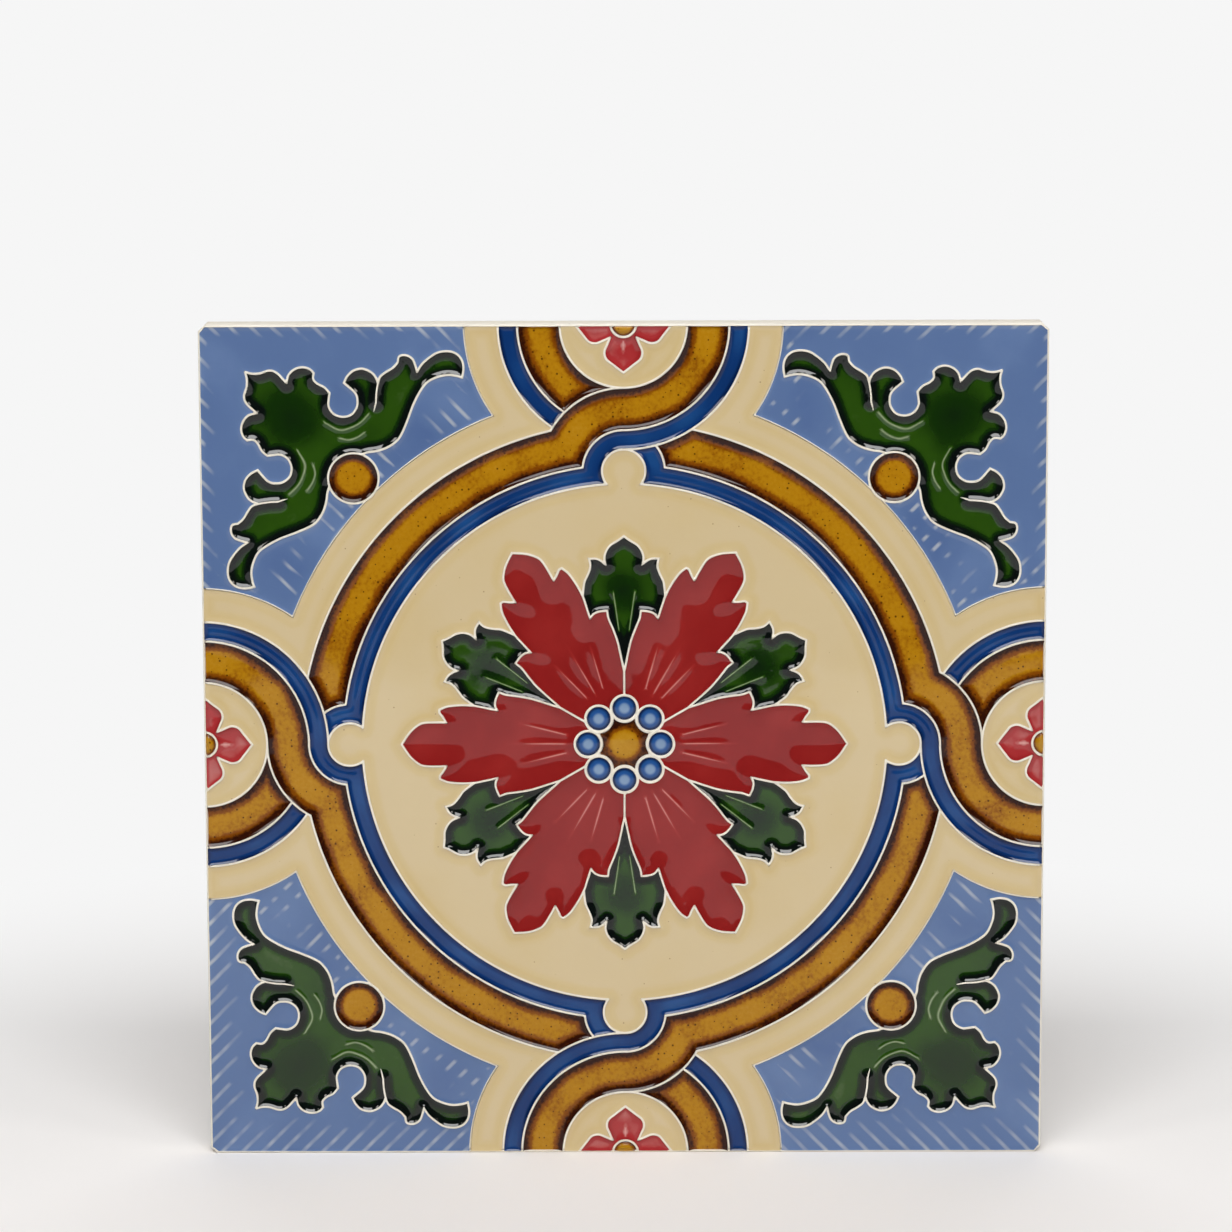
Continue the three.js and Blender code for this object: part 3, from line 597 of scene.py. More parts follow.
def srgb(red, green, blue):
    """A colour as read off the face, 0 to 255, as the shader wants it."""
    def linear(c):
        c /= 255
        return c / 12.92 if c <= 0.04045 else ((c + 0.055) / 1.055) ** 2.4
    return (linear(red), linear(green), linear(blue), 1.0)


def group(name, values, outputs):
    """A node group that takes a place and named values; gives its tree, its inputs and its output node."""
    tree = bpy.data.node_groups.new(name, "ShaderNodeTree")
    tree.interface.new_socket("Place", in_out="INPUT", socket_type="NodeSocketVector")
    for socket, value in values.items():
        made = tree.interface.new_socket(socket, in_out="INPUT", socket_type="NodeSocketFloat")
        made.default_value = value
    for socket in outputs:
        tree.interface.new_socket(socket, in_out="OUTPUT", socket_type="NodeSocketFloat")
    return tree, tree.nodes.new("NodeGroupInput").outputs, tree.nodes.new("NodeGroupOutput")


def scatter_group():
    """Small round spots scattered in the glaze and the clay: iron specks, pinholes and grit."""
    tree, given, result = group("Scattered spots", {"Pitch mm": 2.0, "Size": 0.1, "Share": 0.5}, ["Mask"])
    split = add(tree, "ShaderNodeSeparateXYZ", Vector=given["Place"]).outputs
    flat = add(tree, "ShaderNodeCombineXYZ", X=calc(tree, "ADD", split["X"], split["Y"]),
               Y=calc(tree, "ADD", split["Z"], split["Y"]))
    cells = add(tree, "ShaderNodeTexVoronoi", voronoi_dimensions="2D", Vector=flat.outputs[0],
                Scale=calc(tree, "DIVIDE", 1000.0, given["Pitch mm"])).outputs
    spread = add(tree, "ShaderNodeSeparateColor", Color=cells["Color"]).outputs
    chosen = calc(tree, "LESS_THAN", spread[0], given["Share"])
    reach = calc(tree, "MULTIPLY", given["Size"], calc(tree, "ADD", spread[1], 0.4))
    near = calc(tree, "DIVIDE", cells["Distance"], reach)
    spot = calc(tree, "SUBTRACT", 1.0, calc(tree, "POWER", near, 2.0), clamp=True)
    wire(tree, result, Mask=calc(tree, "MULTIPLY", spot, chosen))
    return tree


SCATTER = scatter_group()


def skin_group():
    """The glaze's skin: a faint ripple, pinholes, and a roughness that wanders a little."""
    tree, given, result = group("Glaze skin", {"Ripple": 0.5, "Pinholes": 0.3, "Roughness": 0.06},
                                ["Height", "Roughness"])
    place = given["Place"]
    holes = placed(tree, SCATTER, place, Pitch_mm=3.2, Size=0.05, Share=0.6)["Mask"]
    wave = calc(tree, "MULTIPLY", noise(tree, place, 260.0, 2.0), given["Ripple"])
    grain = calc(tree, "MULTIPLY", noise(tree, place, 1400.0, 2.0), 0.06)
    sunk = calc(tree, "MULTIPLY", holes, given["Pinholes"])
    wire(tree, result, Height=calc(tree, "SUBTRACT", calc(tree, "ADD", wave, grain), sunk),
         Roughness=calc(tree, "ADD", given["Roughness"], drift(tree, place, 45.0, 5.0, 0.08), clamp=True))
    return tree


SKIN = skin_group()


def new_finish(name):
    """A new material; gives it, its tree, its surface and the place on the tile."""
    material = bpy.data.materials.new(name)
    material.use_nodes = True
    tree = material.node_tree
    return material, tree, tree.nodes["Principled BSDF"], add(tree, "ShaderNodeTexCoord").outputs["Object"]


def clay_material():
    """Bare gritty clay, which turns into the smooth cream of the lines where it stands high on the face."""
    material, tree, surface, place = new_finish("cream line over white clay")
    back = add(tree, "ShaderNodeSeparateXYZ", Vector=place).outputs["Y"]
    height = calc(tree, "SUBTRACT", BEDDING / 1000, back)
    glazed = add(tree, "ShaderNodeMapRange", Value=height, From_Min=0.0070, From_Max=0.0084).outputs[0]
    mottle = noise(tree, place, 700.0, 4.0)
    line = mixed(tree, noise(tree, place, 90.0, 4.0), srgb(243, 239, 229), srgb(229, 220, 200))
    bare = mixed(tree, mottle, srgb(238, 233, 222), srgb(224, 214, 196))
    grit = placed(tree, SCATTER, place, Pitch_mm=4.0, Size=0.055, Share=0.3)["Mask"]
    bare = mixed(tree, grit, bare, srgb(122, 96, 70))
    rough = add(tree, "ShaderNodeMapRange", Value=glazed, To_Min=0.72, To_Max=0.16)
    grain = calc(tree, "MULTIPLY", mottle, calc(tree, "SUBTRACT", 1.2, glazed))
    bump = add(tree, "ShaderNodeBump", Strength=0.35, Distance=0.00006,
               Height=calc(tree, "ADD", placed(tree, SKIN, place, Ripple=0.3)["Height"], grain))
    wire(tree, surface, Base_Color=mixed(tree, glazed, bare, line), Roughness=rough.outputs[0],
         Normal=bump.outputs[0])
    return material


body = body_mesh(clay_material())
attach(body, "root")
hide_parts("tile_body")


# Amber bands. Each is a long pool of iron-amber glaze over a rounded clay roll: it lies level, thin
# and golden with iron specks over the roll, and deep, nearly black along both raised lines, which it climbs.
BAND_LEVEL = 8.42
POOL_SINK = 0.04
POOL_GRID = 0.55
ROW_RATIO = 0.866
RIM_STEP = 0.34
RIM_ROWS = (0.12, 0.27, 0.46, 0.7, 1.0, 1.35)
RIB_ROWS = (-0.62, -0.38, -0.18, 0, 0.18, 0.38, 0.62)
LIP_REACH = 0.9


def cross(a, b):
    return a[..., 0] * b[..., 1] - a[..., 1] * b[..., 0]


def inset(outline, distance):
    """Moves each side of an outline inwards, bevels the long points and drops the sides that vanish."""
    area = np.sum(cross(outline, np.roll(outline, -1, axis=0)))
    points = joined(outline if area > 0 else outline[::-1])
    ways = np.roll(points, -1, axis=0) - points
    ways /= np.hypot(*ways.T)[:, None]
    sides = []
    for i, (p, after) in enumerate(zip(points, ways)):
        before = ways[i - 1]
        facing = before @ after
        if cross(before, after) < 1e-6 and facing < 0.1:
            middle = before if facing < -0.999 else left_of(before + after)
            middle = middle / math.hypot(*middle)
            sides.append((p + middle * distance, -left_of(middle)))
        sides.append((p + left_of(after) * distance, after))
    while True:
        spots = np.array([s[0] for s in sides])
        along = np.array([s[1] for s in sides])
        last_spots, last_along = np.roll(spots, 1, axis=0), np.roll(along, 1, axis=0)
        spread = cross(last_along, along)
        parallel = np.abs(spread) < 1e-5
        reach = cross(spots - last_spots, along) / np.where(parallel, 1, spread)
        corners = np.where(parallel[:, None], spots, last_spots + last_along * reach[:, None])
        lengths = ((np.roll(corners, -1, axis=0) - corners) * along).sum(axis=1)
        if lengths.min() > 0 or len(sides) < 4:
            return corners
        drop = {int(i) for i in np.flatnonzero(lengths <= 0)
                if lengths[i] <= lengths[i - 1] and lengths[i] < lengths[(i + 1) % len(sides)]}
        sides = [s for i, s in enumerate(sides) if i not in (drop or {int(lengths.argmin())})]


def evened(outline, step=RIM_STEP):
    """The same closed outline with its points a step apart, corners kept."""
    pieces = []
    for a, b in zip(outline, np.roll(outline, -1, axis=0)):
        count = max(1, round(math.hypot(*(b - a)) / step))
        pieces.append(a + (b - a) * np.linspace(0, 1, count, endpoint=False)[:, None])
    return np.vstack(pieces)


def meniscus(edge, climb, reach, lip=0.0):
    """How far the glaze climbs the lines: its slope grows evenly from reach to the edge, steeply at a lip."""
    return climb * np.clip(1 - edge / reach, 0, 1) ** 2 + lip * np.clip(1 - edge / LIP_REACH, 0, 1) ** 2


def mark(piece, name, values):
    """Keeps a number at each point of a piece, for its material to read."""
    kept = piece.data.attributes.new(name, "FLOAT", "POINT")
    kept.data.foreach_set("value", values.astype(np.float32))


def pool(name, outline, surface, material, turns=(0.0,), holes=(), line=LINE, grid=POOL_GRID, rows=RIM_ROWS,
         ribs=(), stands_for=True):
    """One glaze pool for each turn round the tile.

    surface gives, for points and their distances from the pool's edge, the height of the glaze and its depth
    of colour: 1 thick, 0 shallow, -1 a bare film. Each pool is closed by side walls and a floor, inside the
    clay's lines. Rows of points follow the rims, and the ribs where there are any.
    """
    half = line / 2 - POOL_SINK
    rims = [evened(inset(outline, half))] + [evened(inset(hole, -half))[::-1] for hole in holes]
    tree = sample_tree([np.vstack((rim, rim[:1])) for rim in rims])

    def within(points, least):
        points = points[between(rims, points)]
        return points[distance_to(tree, points) > least]

    (left, low), (right, high) = rims[0].min(axis=0), rims[0].max(axis=0)
    cells = np.stack(np.meshgrid(np.arange(left, right, grid), np.arange(low, high, grid * ROW_RATIO)), -1)
    cells[1::2, :, 0] += grid / 2
    cells = cells.reshape(-1, 2)
    inner = []
    for off in rows:
        for rim, way in [(rims[0], 1)] + [(rim, -1) for rim in rims[1:]]:
            inner.append(within(evened(inset(rim, off * way), max(RIM_STEP, off * 0.5)), off * 0.9))
    if ribs:
        rib_tree = sample_tree(ribs)
        cells = cells[distance_to(rib_tree, cells) > RIB_ROWS[-1] + 0.13]
        inner = [row[distance_to(rib_tree, row) > RIB_ROWS[-1] + 0.08] for row in inner if len(row)]
        inner.insert(0, within(np.vstack([row for rib in ribs for row in beside(rib, RIB_ROWS)]), 0.2))
    inner = unique(np.vstack(inner + [within(cells, rows[-1] + 0.25)]), apart=0.06)
    points, faces = triangles(rims, [inner])
    height, depth = surface(points, distance_to(tree, points))
    floor_points, floor_faces = triangles(rims, [])
    base, start = len(points), 0
    all_faces = list(faces) + [face[::-1] + base for face in floor_faces]
    for rim in rims:
        all_faces += wall(start, base + start, len(rim))
        start += len(rim)
    made = []
    for i, angle in enumerate(turns):
        places = np.vstack((standing(turned(points, angle), height),
                            standing(turned(floor_points, angle), WELL_FLOOR)))
        label = f"{name}_{i + 1}" if len(turns) > 1 else name
        piece = mesh_piece(f"{label}_glaze", places, all_faces, material)
        mark(piece, "glaze_depth", np.concatenate((depth, np.ones(len(floor_points)))))
        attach(piece, "root")
        if stands_for:
            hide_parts(label)
        made.append(piece)
    return made


def glaze_material(name, film, shallow, middle, deep, *, cloud=0.12, grain=0.06, ripple=0.3, roughness=0.035,
                   shine=0.5, specks=0.0, speck_colour=(0, 0, 0), speck_pitch=1.5, speck_size=0.1,
                   strokes=None):
    """Glass over clay: four colours by the depth of the glaze, cloudy, specked and slightly rippled."""
    material, tree, surface, place = new_finish(name)
    depth = add(tree, "ShaderNodeAttribute", attribute_name="glaze_depth").outputs["Fac"]
    for scale, amount in ((170.0, cloud), (1500.0, grain)):
        depth = calc(tree, "ADD", depth, drift(tree, place, scale, 3.0, amount))
    colour = srgb(*film)
    for tint, low, high, fade in (
            (shallow, -1.0, 0.0, "LINEAR"), (middle, 0.0, 0.5, "SMOOTHSTEP"), (deep, 0.5, 1.0, "SMOOTHSTEP")):
        turning = add(tree, "ShaderNodeMapRange", Value=depth, From_Min=low, From_Max=high,
                      interpolation_type=fade)
        colour = mixed(tree, turning.outputs[0], colour, srgb(*tint))
    if strokes:
        shown = add(tree, "ShaderNodeAttribute", attribute_name="stroke_shows").outputs["Fac"]
        shown = calc(tree, "MULTIPLY", placed(tree, strokes, place)["Mask"], shown)
        colour = mixed(tree, shown, colour, srgb(*film))
    if specks:
        spots = placed(tree, SCATTER, place, Pitch_mm=speck_pitch, Size=speck_size, Share=specks)["Mask"]
        colour = mixed(tree, spots, colour, srgb(*speck_colour))
    skin = placed(tree, SKIN, place, Ripple=ripple, Roughness=roughness)
    bump = add(tree, "ShaderNodeBump", Strength=0.3, Distance=0.00008, Height=skin["Height"])
    wire(tree, surface, Base_Color=colour, Roughness=skin["Roughness"], Specular_IOR_Level=shine,
         Normal=bump.outputs[0])
    return material


def off_lines(tree, points):
    """Distances from the flanks of raised lines."""
    return np.maximum(distance_to(tree, points) - LINE / 2 + POOL_SINK, 0)


def rolled(sides):
    """Level amber over a roll of clay: thin over the roll, thick at its lines, cut straight at the rim."""
    tree = sample_tree(sides)

    def surface(points, edge):
        off = off_lines(tree, points)
        height = BAND_LEVEL + meniscus(off, climb=0.36, reach=1.7, lip=0.16) + 0.02 * wander(points, 7, 2)
        depth = 1.0 - eased((off - 0.3) / 2.1) * 0.92 + 0.12 * wander(points, 4, 7)
        return height, np.clip(depth, -0.1, 1)

    return surface


amber = glaze_material(
    "amber glaze", (196, 152, 50), (172, 121, 14), (124, 66, 5), (44, 14, 4), cloud=0.5, grain=0.7,
    roughness=0.05, shine=0.28, specks=0.4, speck_colour=(70, 34, 4), speck_pitch=1.3, speck_size=0.15)
long_sides = path(
    run_out(EDGE_DISC, 1),
    (EDGE, disc_turn, CW),
    (LOBE, band_cusp, CCW),
    (CENTRE, on_left(band_end), CCW),
    (edge_left, on_left(band_tip), CW),
    (lobe_left, left_stripe_notch, CW),
    (CENTRE, stripe_notch, CW),
    (LOBE, band_turn, CW),
    (EDGE, run_out(EDGE_BAND, 1), CCW),
)
short_sides = path(
    run_out(EDGE_BAND, -1),
    (EDGE, short_band_end, CCW),
    (LOBE, disc_turn, CW),
    (EDGE, run_out(EDGE_DISC, -1), CW),
)
for name, sides in (("long_amber_band", long_sides), ("short_amber_band", short_sides)):
    for piece in pool(name, joined(*sides), rolled(sides), amber, quarters):
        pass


# Dark blue stripes. They are narrow pools of cobalt glaze between two raised lines, a little brighter along
# the middle where the clay beneath is rounded up, and darker along the lines.
STRIPE_LEVEL = 8.54


def narrow_pool(points, edge):
    roll = 0.08 * eased((edge - 0.6) / 1.0)
    height = STRIPE_LEVEL + meniscus(edge, climb=0.26, reach=1.0, lip=0.14) + roll
    height += 0.02 * wander(points, 5, 11)
    depth = 0.85 - 0.5 * eased((edge - 0.05) / 0.9) + 0.2 * wander(points, 6, 12)
    return height, np.clip(depth, -0.2, 1)


dark_blue = glaze_material("cobalt glaze", (80, 126, 178), (28, 74, 132), (12, 50, 106), (5, 28, 70),
                           cloud=0.35, shine=0.35)
long_stripe = joined(*path(
    run_out(EDGE_BAND, 1),
    (EDGE, band_turn, CW),
    (LOBE, stripe_notch, CCW),
    (CENTRE, left_stripe_notch, CCW),
    (lobe_left, on_left(band_tip), CCW),
    (edge_left, on_left(stripe_turn), CW),
    (lobe_left, left_ground_notch, CW),
    (CENTRE, ground_notch, CW),
    (LOBE, stripe_turn, CW),
    (EDGE, run_out(EDGE_STRIPE, 1), CCW),
))
short_stripe = joined(*path(
    run_out(EDGE_STRIPE, -1),
    (EDGE, short_stripe_end, CCW),
    (LOBE, short_band_end, CW),
    (EDGE, run_out(EDGE_BAND, -1), CW),
))
for name, outline in (("long_blue_stripe", long_stripe), ("short_blue_stripe", short_stripe)):
    for piece in pool(name, outline, narrow_pool, dark_blue, quarters, grid=0.45):
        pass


# Cream bands, edge discs and the ground inside the rings. They are pools of an opaque cream glaze, level in
# the middle, a little yellower where they thicken along the raised lines, with a few pinholes and specks.
CREAM_LEVEL = 8.64


def level_pool(points, edge):
    height = CREAM_LEVEL + meniscus(edge, climb=0.22, reach=1.3) + 0.03 * wander(points, 12, 21)
    depth = 0.6 * np.exp(-((edge - 1.0) / 0.8) ** 2) + 0.12 + 0.2 * wander(points, 14, 22)
    return height, np.clip(depth, 0, 1)


cream = glaze_material(
    "cream glaze", (222, 206, 172), (206, 187, 148), (204, 183, 138), (201, 177, 126), cloud=0.25,
    specks=0.25, speck_colour=(150, 124, 88), speck_pitch=4.2, speck_size=0.03)
cream_band = joined(*path(
    run_out(EDGE_STRIPE, 1),
    (EDGE, band_end, CW),
    (CENTRE, on_right(band_cusp), CW),
    (lobe_right, on_right(short_stripe_end), CW),
    (edge_right, on_right(run_out(EDGE_STRIPE, -1)), CW),
    (None, mirrored(cream_end), 0),
    (edge_right, mirrored(cream_cusp), CCW),
    (CENTRE, cream_cusp, CCW),
    (EDGE, cream_end, CCW),
))
edge_disc = joined(disc_edge, flower_edge)
ground = joined(*[
    piece for i, angle in enumerate(quarters) for piece in (
        arc(turned(LOBE, angle), turned(across_u(ground_notch), angle), turned(ground_notch, angle), CCW),
        arc(CENTRE, turned(ground_notch, angle), turned(across_u(ground_notch), (i + 1) * QUARTER), CCW))
])
flower_outline = joined(*[
    turned(piece, turn) for angle in sixths for piece, turn in (
        (across_v(petal_crown)[::-1], angle), (petal_crown, angle),
        (sepal_crown, angle - SIXTH), (across_u(sepal_crown)[::-1], angle - SIXTH))
])
for name, outline, turns, holes in (
        ("cream_band", cream_band, quarters, ()), ("edge_disc", edge_disc, quarters, ()),
        ("flower_ground", ground, (0.0,), (flower_outline,))):
    for piece in pool(name, outline, level_pool, cream, turns, holes, grid=0.75):
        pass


# Corner grounds. Light blue glaze fills the field round each corner leaf, out to the rim. Diagonal strokes of
# the mould lie under it and show pale through it near the edges and beside the cream rings.
CORNER_LEVEL = 8.66
STROKE_PITCH = 2.62
STROKE_SHIFT = 0.42
THIN_SHIFT = (LINE - THIN_LINE) / 2
CORNER_TURN = FIELD - 1.3


def stroke_group():
    """Where the diagonal strokes lie under the glaze."""
    tree, given, result = group("Strokes under the glaze", {"Width": 0.17}, ["Mask"])
    split = add(tree, "ShaderNodeSeparateXYZ", Vector=given["Place"]).outputs
    across = calc(tree, "ABSOLUTE", split["X"], 0.0)
    up = calc(tree, "ABSOLUTE", calc(tree, "SUBTRACT", split["Z"], HALF / 1000), 0.0)
    bend = calc(tree, "MULTIPLY", noise(tree, given["Place"], 90.0, 2.0), 0.16)
    off = calc(tree, "MULTIPLY", calc(tree, "SUBTRACT", across, up), 1000 / STROKE_PITCH / math.sqrt(2))
    near = calc(tree, "PINGPONG", calc(tree, "ADD", calc(tree, "ADD", off, bend), STROKE_SHIFT), 0.5)
    near = calc(tree, "DIVIDE", near, given["Width"])
    wire(tree, result, Mask=calc(tree, "SUBTRACT", 1.0, calc(tree, "POWER", near, 2.0), clamp=True))
    return tree


def stroked_pool(points, edge):
    height = CORNER_LEVEL + meniscus(edge, climb=0.16, reach=1.0) + 0.03 * wander(points, 7, 31)
    depth = 0.5 - 0.5 * np.exp(-edge / 0.3) + 0.3 * wander(points, 9, 33)
    return height, np.clip(depth, -0.3, 1)


def strokes_shown(points):
    """How plainly the strokes show: most at the rim, longest at the lower edge, faintly beside the rings."""
    u, v = np.abs(points).T
    from_edge = HALF - np.maximum(u, v)
    low = np.where(points[:, 1] < 0, np.where(v > u, 1.0, 0.6), 0.0)
    length = 2.0 + 4.4 * low + (1.1 + 1.8 * low) * wander(points, 3, 5)
    fading = np.clip(1 - from_edge / np.maximum(length, 0.8), 0, 1) ** 0.8
    at_rim = (0.8 - 0.2 * low) * (0.7 + 0.3 * wander(points, 1.7, 8)) * fading
    from_ring = np.hypot(u, v) - CREAM
    for angle in quarters:
        from_ring = np.minimum(from_ring, away(points, turned(EDGE, angle)) - EDGE_CREAM)
    beside_ring = eased((from_ring - 0.6) / 0.8) * eased((6.2 - from_ring) / 2.4)
    at_ring = (0.55 - 0.15 * low) * beside_ring * np.clip(0.1 + 1.6 * wander(points, 2.4, 6), 0, 1)
    return np.clip(np.maximum(at_rim, at_ring), 0, 1)


light_blue = glaze_material(
    "light blue glaze", (204, 208, 206), (98, 122, 164), (88, 112, 155), (78, 102, 148), cloud=0.4,
    ripple=0.4, strokes=stroke_group())
inner_cream, inner_edge = CREAM - THIN_SHIFT, EDGE_CREAM - THIN_SHIFT
inner_cusp = crossing(CENTRE, inner_cream, EDGE, inner_edge, -1)
inner_touch = crossing(CENTRE, inner_cream, BOSS, BOSS_RADIUS, 1)
leaf_half = joined(leaf_crown, leaf_tail)
corner_ground = joined(
    *path(
        inner_touch,
        (CENTRE, inner_cusp, CCW),
        (EDGE, run_out(inner_edge, 1), CCW),
        (None, (CORNER_TURN, FIELD), 0),
        (np.array((CORNER_TURN, CORNER_TURN)), (FIELD, CORNER_TURN), CW),
        (None, mirrored(run_out(inner_edge, 1)), 0),
        (edge_right, mirrored(inner_cusp), CCW),
        (CENTRE, mirrored(inner_touch), CCW),
        (BOSS, mirrored(leaf_seat), CCW),
    ),
    mirrored(leaf_half)[::-1], leaf_half[1:],
    arc(BOSS, leaf_seat, inner_touch, CCW),
)
for piece in pool("corner_ground", corner_ground, stroked_pool, light_blue, quarters, grid=0.42):
    places = np.array([tuple(vertex.co) for vertex in piece.data.vertices])
    mark(piece, "stroke_shows", strokes_shown(places[:, (0, 2)] * 1000 - (0, HALF)))


# Corner leaves and sepals. Copper-green glaze lies level in them and climbs the lines in a steep meniscus,
# green over the middle and nearly black where it pools against the lines. The clay's veins show pale in it.
GREEN_LEVEL = 8.34


def veined(veins, spurs, pool_middle, pool_size, reach):
    """Level between its lines, with a darker pool round pool_middle and a film of glaze over the veins."""
    vein_tree = sample_tree(veins)
    spur_tree = sample_tree(spurs) if spurs else None

    def surface(points, edge):
        vein = distance_to(vein_tree, points)
        off = np.minimum(edge, off_lines(spur_tree, points)) if spurs else edge
        over_vein = 0.12 * np.exp(-(vein / 0.5) ** 2)
        height = GREEN_LEVEL + meniscus(off, climb=0.42, reach=reach, lip=0.18) + over_vein
        height += 0.02 * wander(points, 6, 41)
        pooled = 0.72 * np.exp(-(away(points, pool_middle) / pool_size) ** 2)
        depth = 1.0 - 0.94 * eased((off - 0.7) / 1.25) + pooled
        depth += 0.14 * wander(points, 6, 42)
        film = np.exp(-(vein / 0.17) ** 2)
        return height, np.clip(depth, 0, 1) * (1 - film) - 0.62 * film

    return surface


green = glaze_material("copper green glaze", (176, 190, 152), (38, 72, 8), (13, 42, 2), (5, 11, 9), cloud=0.3)
corner_leaf = joined(leaf_half, arc(BOSS, leaf_seat, mirrored(leaf_seat), CW),
                     mirrored(leaf_half)[::-1])
leaf_spurs = [
    straight(*pair) for line in (leaf_spur, mirrored(leaf_spur)) for pair in zip(line, line[1:])]
sepal_side = joined(turned(petal_flank, SIXTH)[::-1], sepal_crown)
sepal = joined(sepal_side, across_u(sepal_side)[::-1])
for name, outline, turns, veins, spurs, pool_middle, pool_size, reach in (
        ("corner_leaf", corner_leaf, quarters, leaf_veins, leaf_spurs, (59.5, 59.5), 5.4, 2.15),
        ("sepal", sepal, sixths, sepal_veins, [], (0.0, 28.0), 3.6, 1.75)):
    surface = veined(veins, spurs, pool_middle, pool_size, reach)
    for piece in pool(name, outline, surface, green, turns, grid=0.42, ribs=veins + spurs):
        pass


# Petals. Red glaze lies in them as in shallow dishes, over three ribs that fan out from the eye; the glaze is
# thin on the ribs, so they show pink. The beads' rings cut into the petals' roots.
RED_LEVEL = 8.42
ROOT_MARGIN = 0.02
petal_ribs = [straight(*ends) for ends in (
    ((10.4, 0), (21.0, 0)), ((10.9, 1.75), (18.4, 3.6)), ((10.9, -1.75), (18.4, -3.6)))]


def ribbed(ribs):
    tree = sample_tree(ribs)

    def surface(points, edge):
        out = away(points, CENTRE)
        rib = distance_to(tree, points)
        fade = eased((out - 9.5) / 2) * eased((22 - out) / 8)
        over_rib = 0.08 * np.exp(-(rib / 0.75) ** 2) * fade
        dish = meniscus(edge, climb=0.4, reach=4.8)
        height = RED_LEVEL + dish + meniscus(edge, climb=0.12, reach=1.4) + over_rib
        depth = 0.35 + 0.25 * np.exp(-edge / 0.6) + 0.15 * wander(points, 8, 52)
        film = np.exp(-(rib / 0.19) ** 2) * fade
        return height + 0.05 * wander(points, 10, 51), np.clip(depth, 0, 1) * (1 - film) - 0.55 * film

    return surface


red = glaze_material("red glaze", (232, 168, 158), (150, 40, 37), (134, 27, 26), (98, 14, 15),
                     cloud=0.3, shine=0.42)
petal_side = joined(petal_crown, petal_flank,
                    straight(turned((PARTING, 0), SIXTH / 2), turned((PETAL_ROOT, 0), SIXTH / 2)))
petal_outer = joined(across_v(petal_side)[::-1], petal_side[1:])
petal_outer = petal_outer[np.hypot(*petal_outer.T) > BEAD_CIRCLE + BEAD_RADIUS * 0.55]
for i, angle in enumerate(sixths):
    root = round_beads(angle + SIXTH / 2 - ROOT_MARGIN, angle - SIXTH / 2 + ROOT_MARGIN, 1)
    ribs = [turned(rib, angle) for rib in petal_ribs]
    for piece in pool(f"petal_{i + 1}", joined(turned(petal_outer, angle), root), ribbed(ribs), red, grid=0.6,
                      ribs=ribs):
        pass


# Half flowers at the tile's edges. They are pools of red glaze in raised outlines of half a flower, cut off
# by the rim, with a rib along the middle petal. Their red is painted lighter and pinker than the petals': a
# painted reflection of the light from above.
FLOWER_LEVEL = 8.52


def half_flower(points, edge):
    out = away(points, EDGE)
    film = np.exp(-(points[:, 0] / 0.22) ** 2) * eased((out - 2.6) / 0.6) * eased((5.6 - out) / 1.4)
    height = FLOWER_LEVEL + meniscus(edge, climb=0.36, reach=1.7) + 0.06 * film
    # The shift of the depth towards the pale film is a painted reflection of the light from above.
    depth = 0.6 * np.exp(-edge / 0.5) - 0.1 + 0.2 * wander(points, 4, 61)
    return height, np.clip(depth, -0.1, 1) * (1 - film) - 0.5 * film


# Lighter and pinker than the petals' red: a painted reflection of the light from above.
red_with_painted_reflection = glaze_material("red glaze with painted reflection", (236, 196, 188), (164, 48, 50), (146, 34, 36), (114, 20, 22),
                           cloud=0.4)
half_flower_outline = joined(flower_edge, edge_boss_ring)
for piece in pool("edge_flower", half_flower_outline, half_flower, red_with_painted_reflection, quarters, grid=0.42):
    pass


# Eye and beads. Eight buttons of dark blue glaze ring a button of amber, each domed over the clay inside its
# own raised ring, and the amber runs out in points between the rings.
BEAD_LEVEL = 8.6
SMALL_ROWS = (0.1, 0.22, 0.38, 0.58)


def domed(centre, radius, low, shoulder, rise, thin, thick, most=1.25):
    """A low dome on a steep shoulder; its glaze is thin up to one share of the radius, thick from another."""
    def surface(points, edge):
        out = np.clip(away(points, centre) / radius, 0, 1)
        dome = rise * (1 - out ** 2)
        height = low + shoulder * eased((edge - 0.08) / 0.6) + dome + meniscus(edge, climb=0.1, reach=0.3)
        depth = eased((out - thin) / (thick - thin)) * most - 0.25
        return height, np.clip(depth + 0.1 * wander(points, 2, 71), -1, 1)

    return surface


def bead_surface(centre):
    """A dome of blue glaze, bright in the middle, dark in a ring and darkest at its edge."""
    def surface(points, edge):
        out = away(points, centre)
        dome = 0.16 * (1 - (out / BEAD_RADIUS) ** 2)
        height = BEAD_LEVEL + 0.2 * eased((edge - 0.1) / 0.7) + dome + meniscus(edge, climb=0.1, reach=0.3)
        return height, 1.4 * eased((out - 0.6) / 0.8) - 0.95 + 0.6 * eased((out - 1.35) / 0.7)

    return surface


bead_blue = glaze_material("bead blue glaze", (124, 150, 180), (44, 88, 148), (32, 76, 138), (12, 34, 74),
                           cloud=0.2)
for i, centre in enumerate(bead_centres):
    for piece in pool(f"bead_{i + 1}", circle(centre, BEAD_RADIUS), bead_surface(centre), bead_blue,
                      line=BEAD_LINE, grid=0.25, rows=SMALL_ROWS):
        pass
button = domed(CENTRE, radius=3.6, low=BEAD_LEVEL, shoulder=0.1, rise=0.16, thin=0.5, thick=1.0, most=1.15)
for piece in pool("eye", joined(round_beads(0, 2 * math.pi, -1, 240)), button, amber, line=BEAD_LINE,
                  grid=0.3, rows=SMALL_ROWS[:3]):
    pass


# Bosses. One round amber boss sits where each corner leaf meets the rings, and half a one at the middle of
# each edge, cut off at the rim. They are pools of the bands' glaze inside raised rings.
BOSS_LEVEL = 8.46


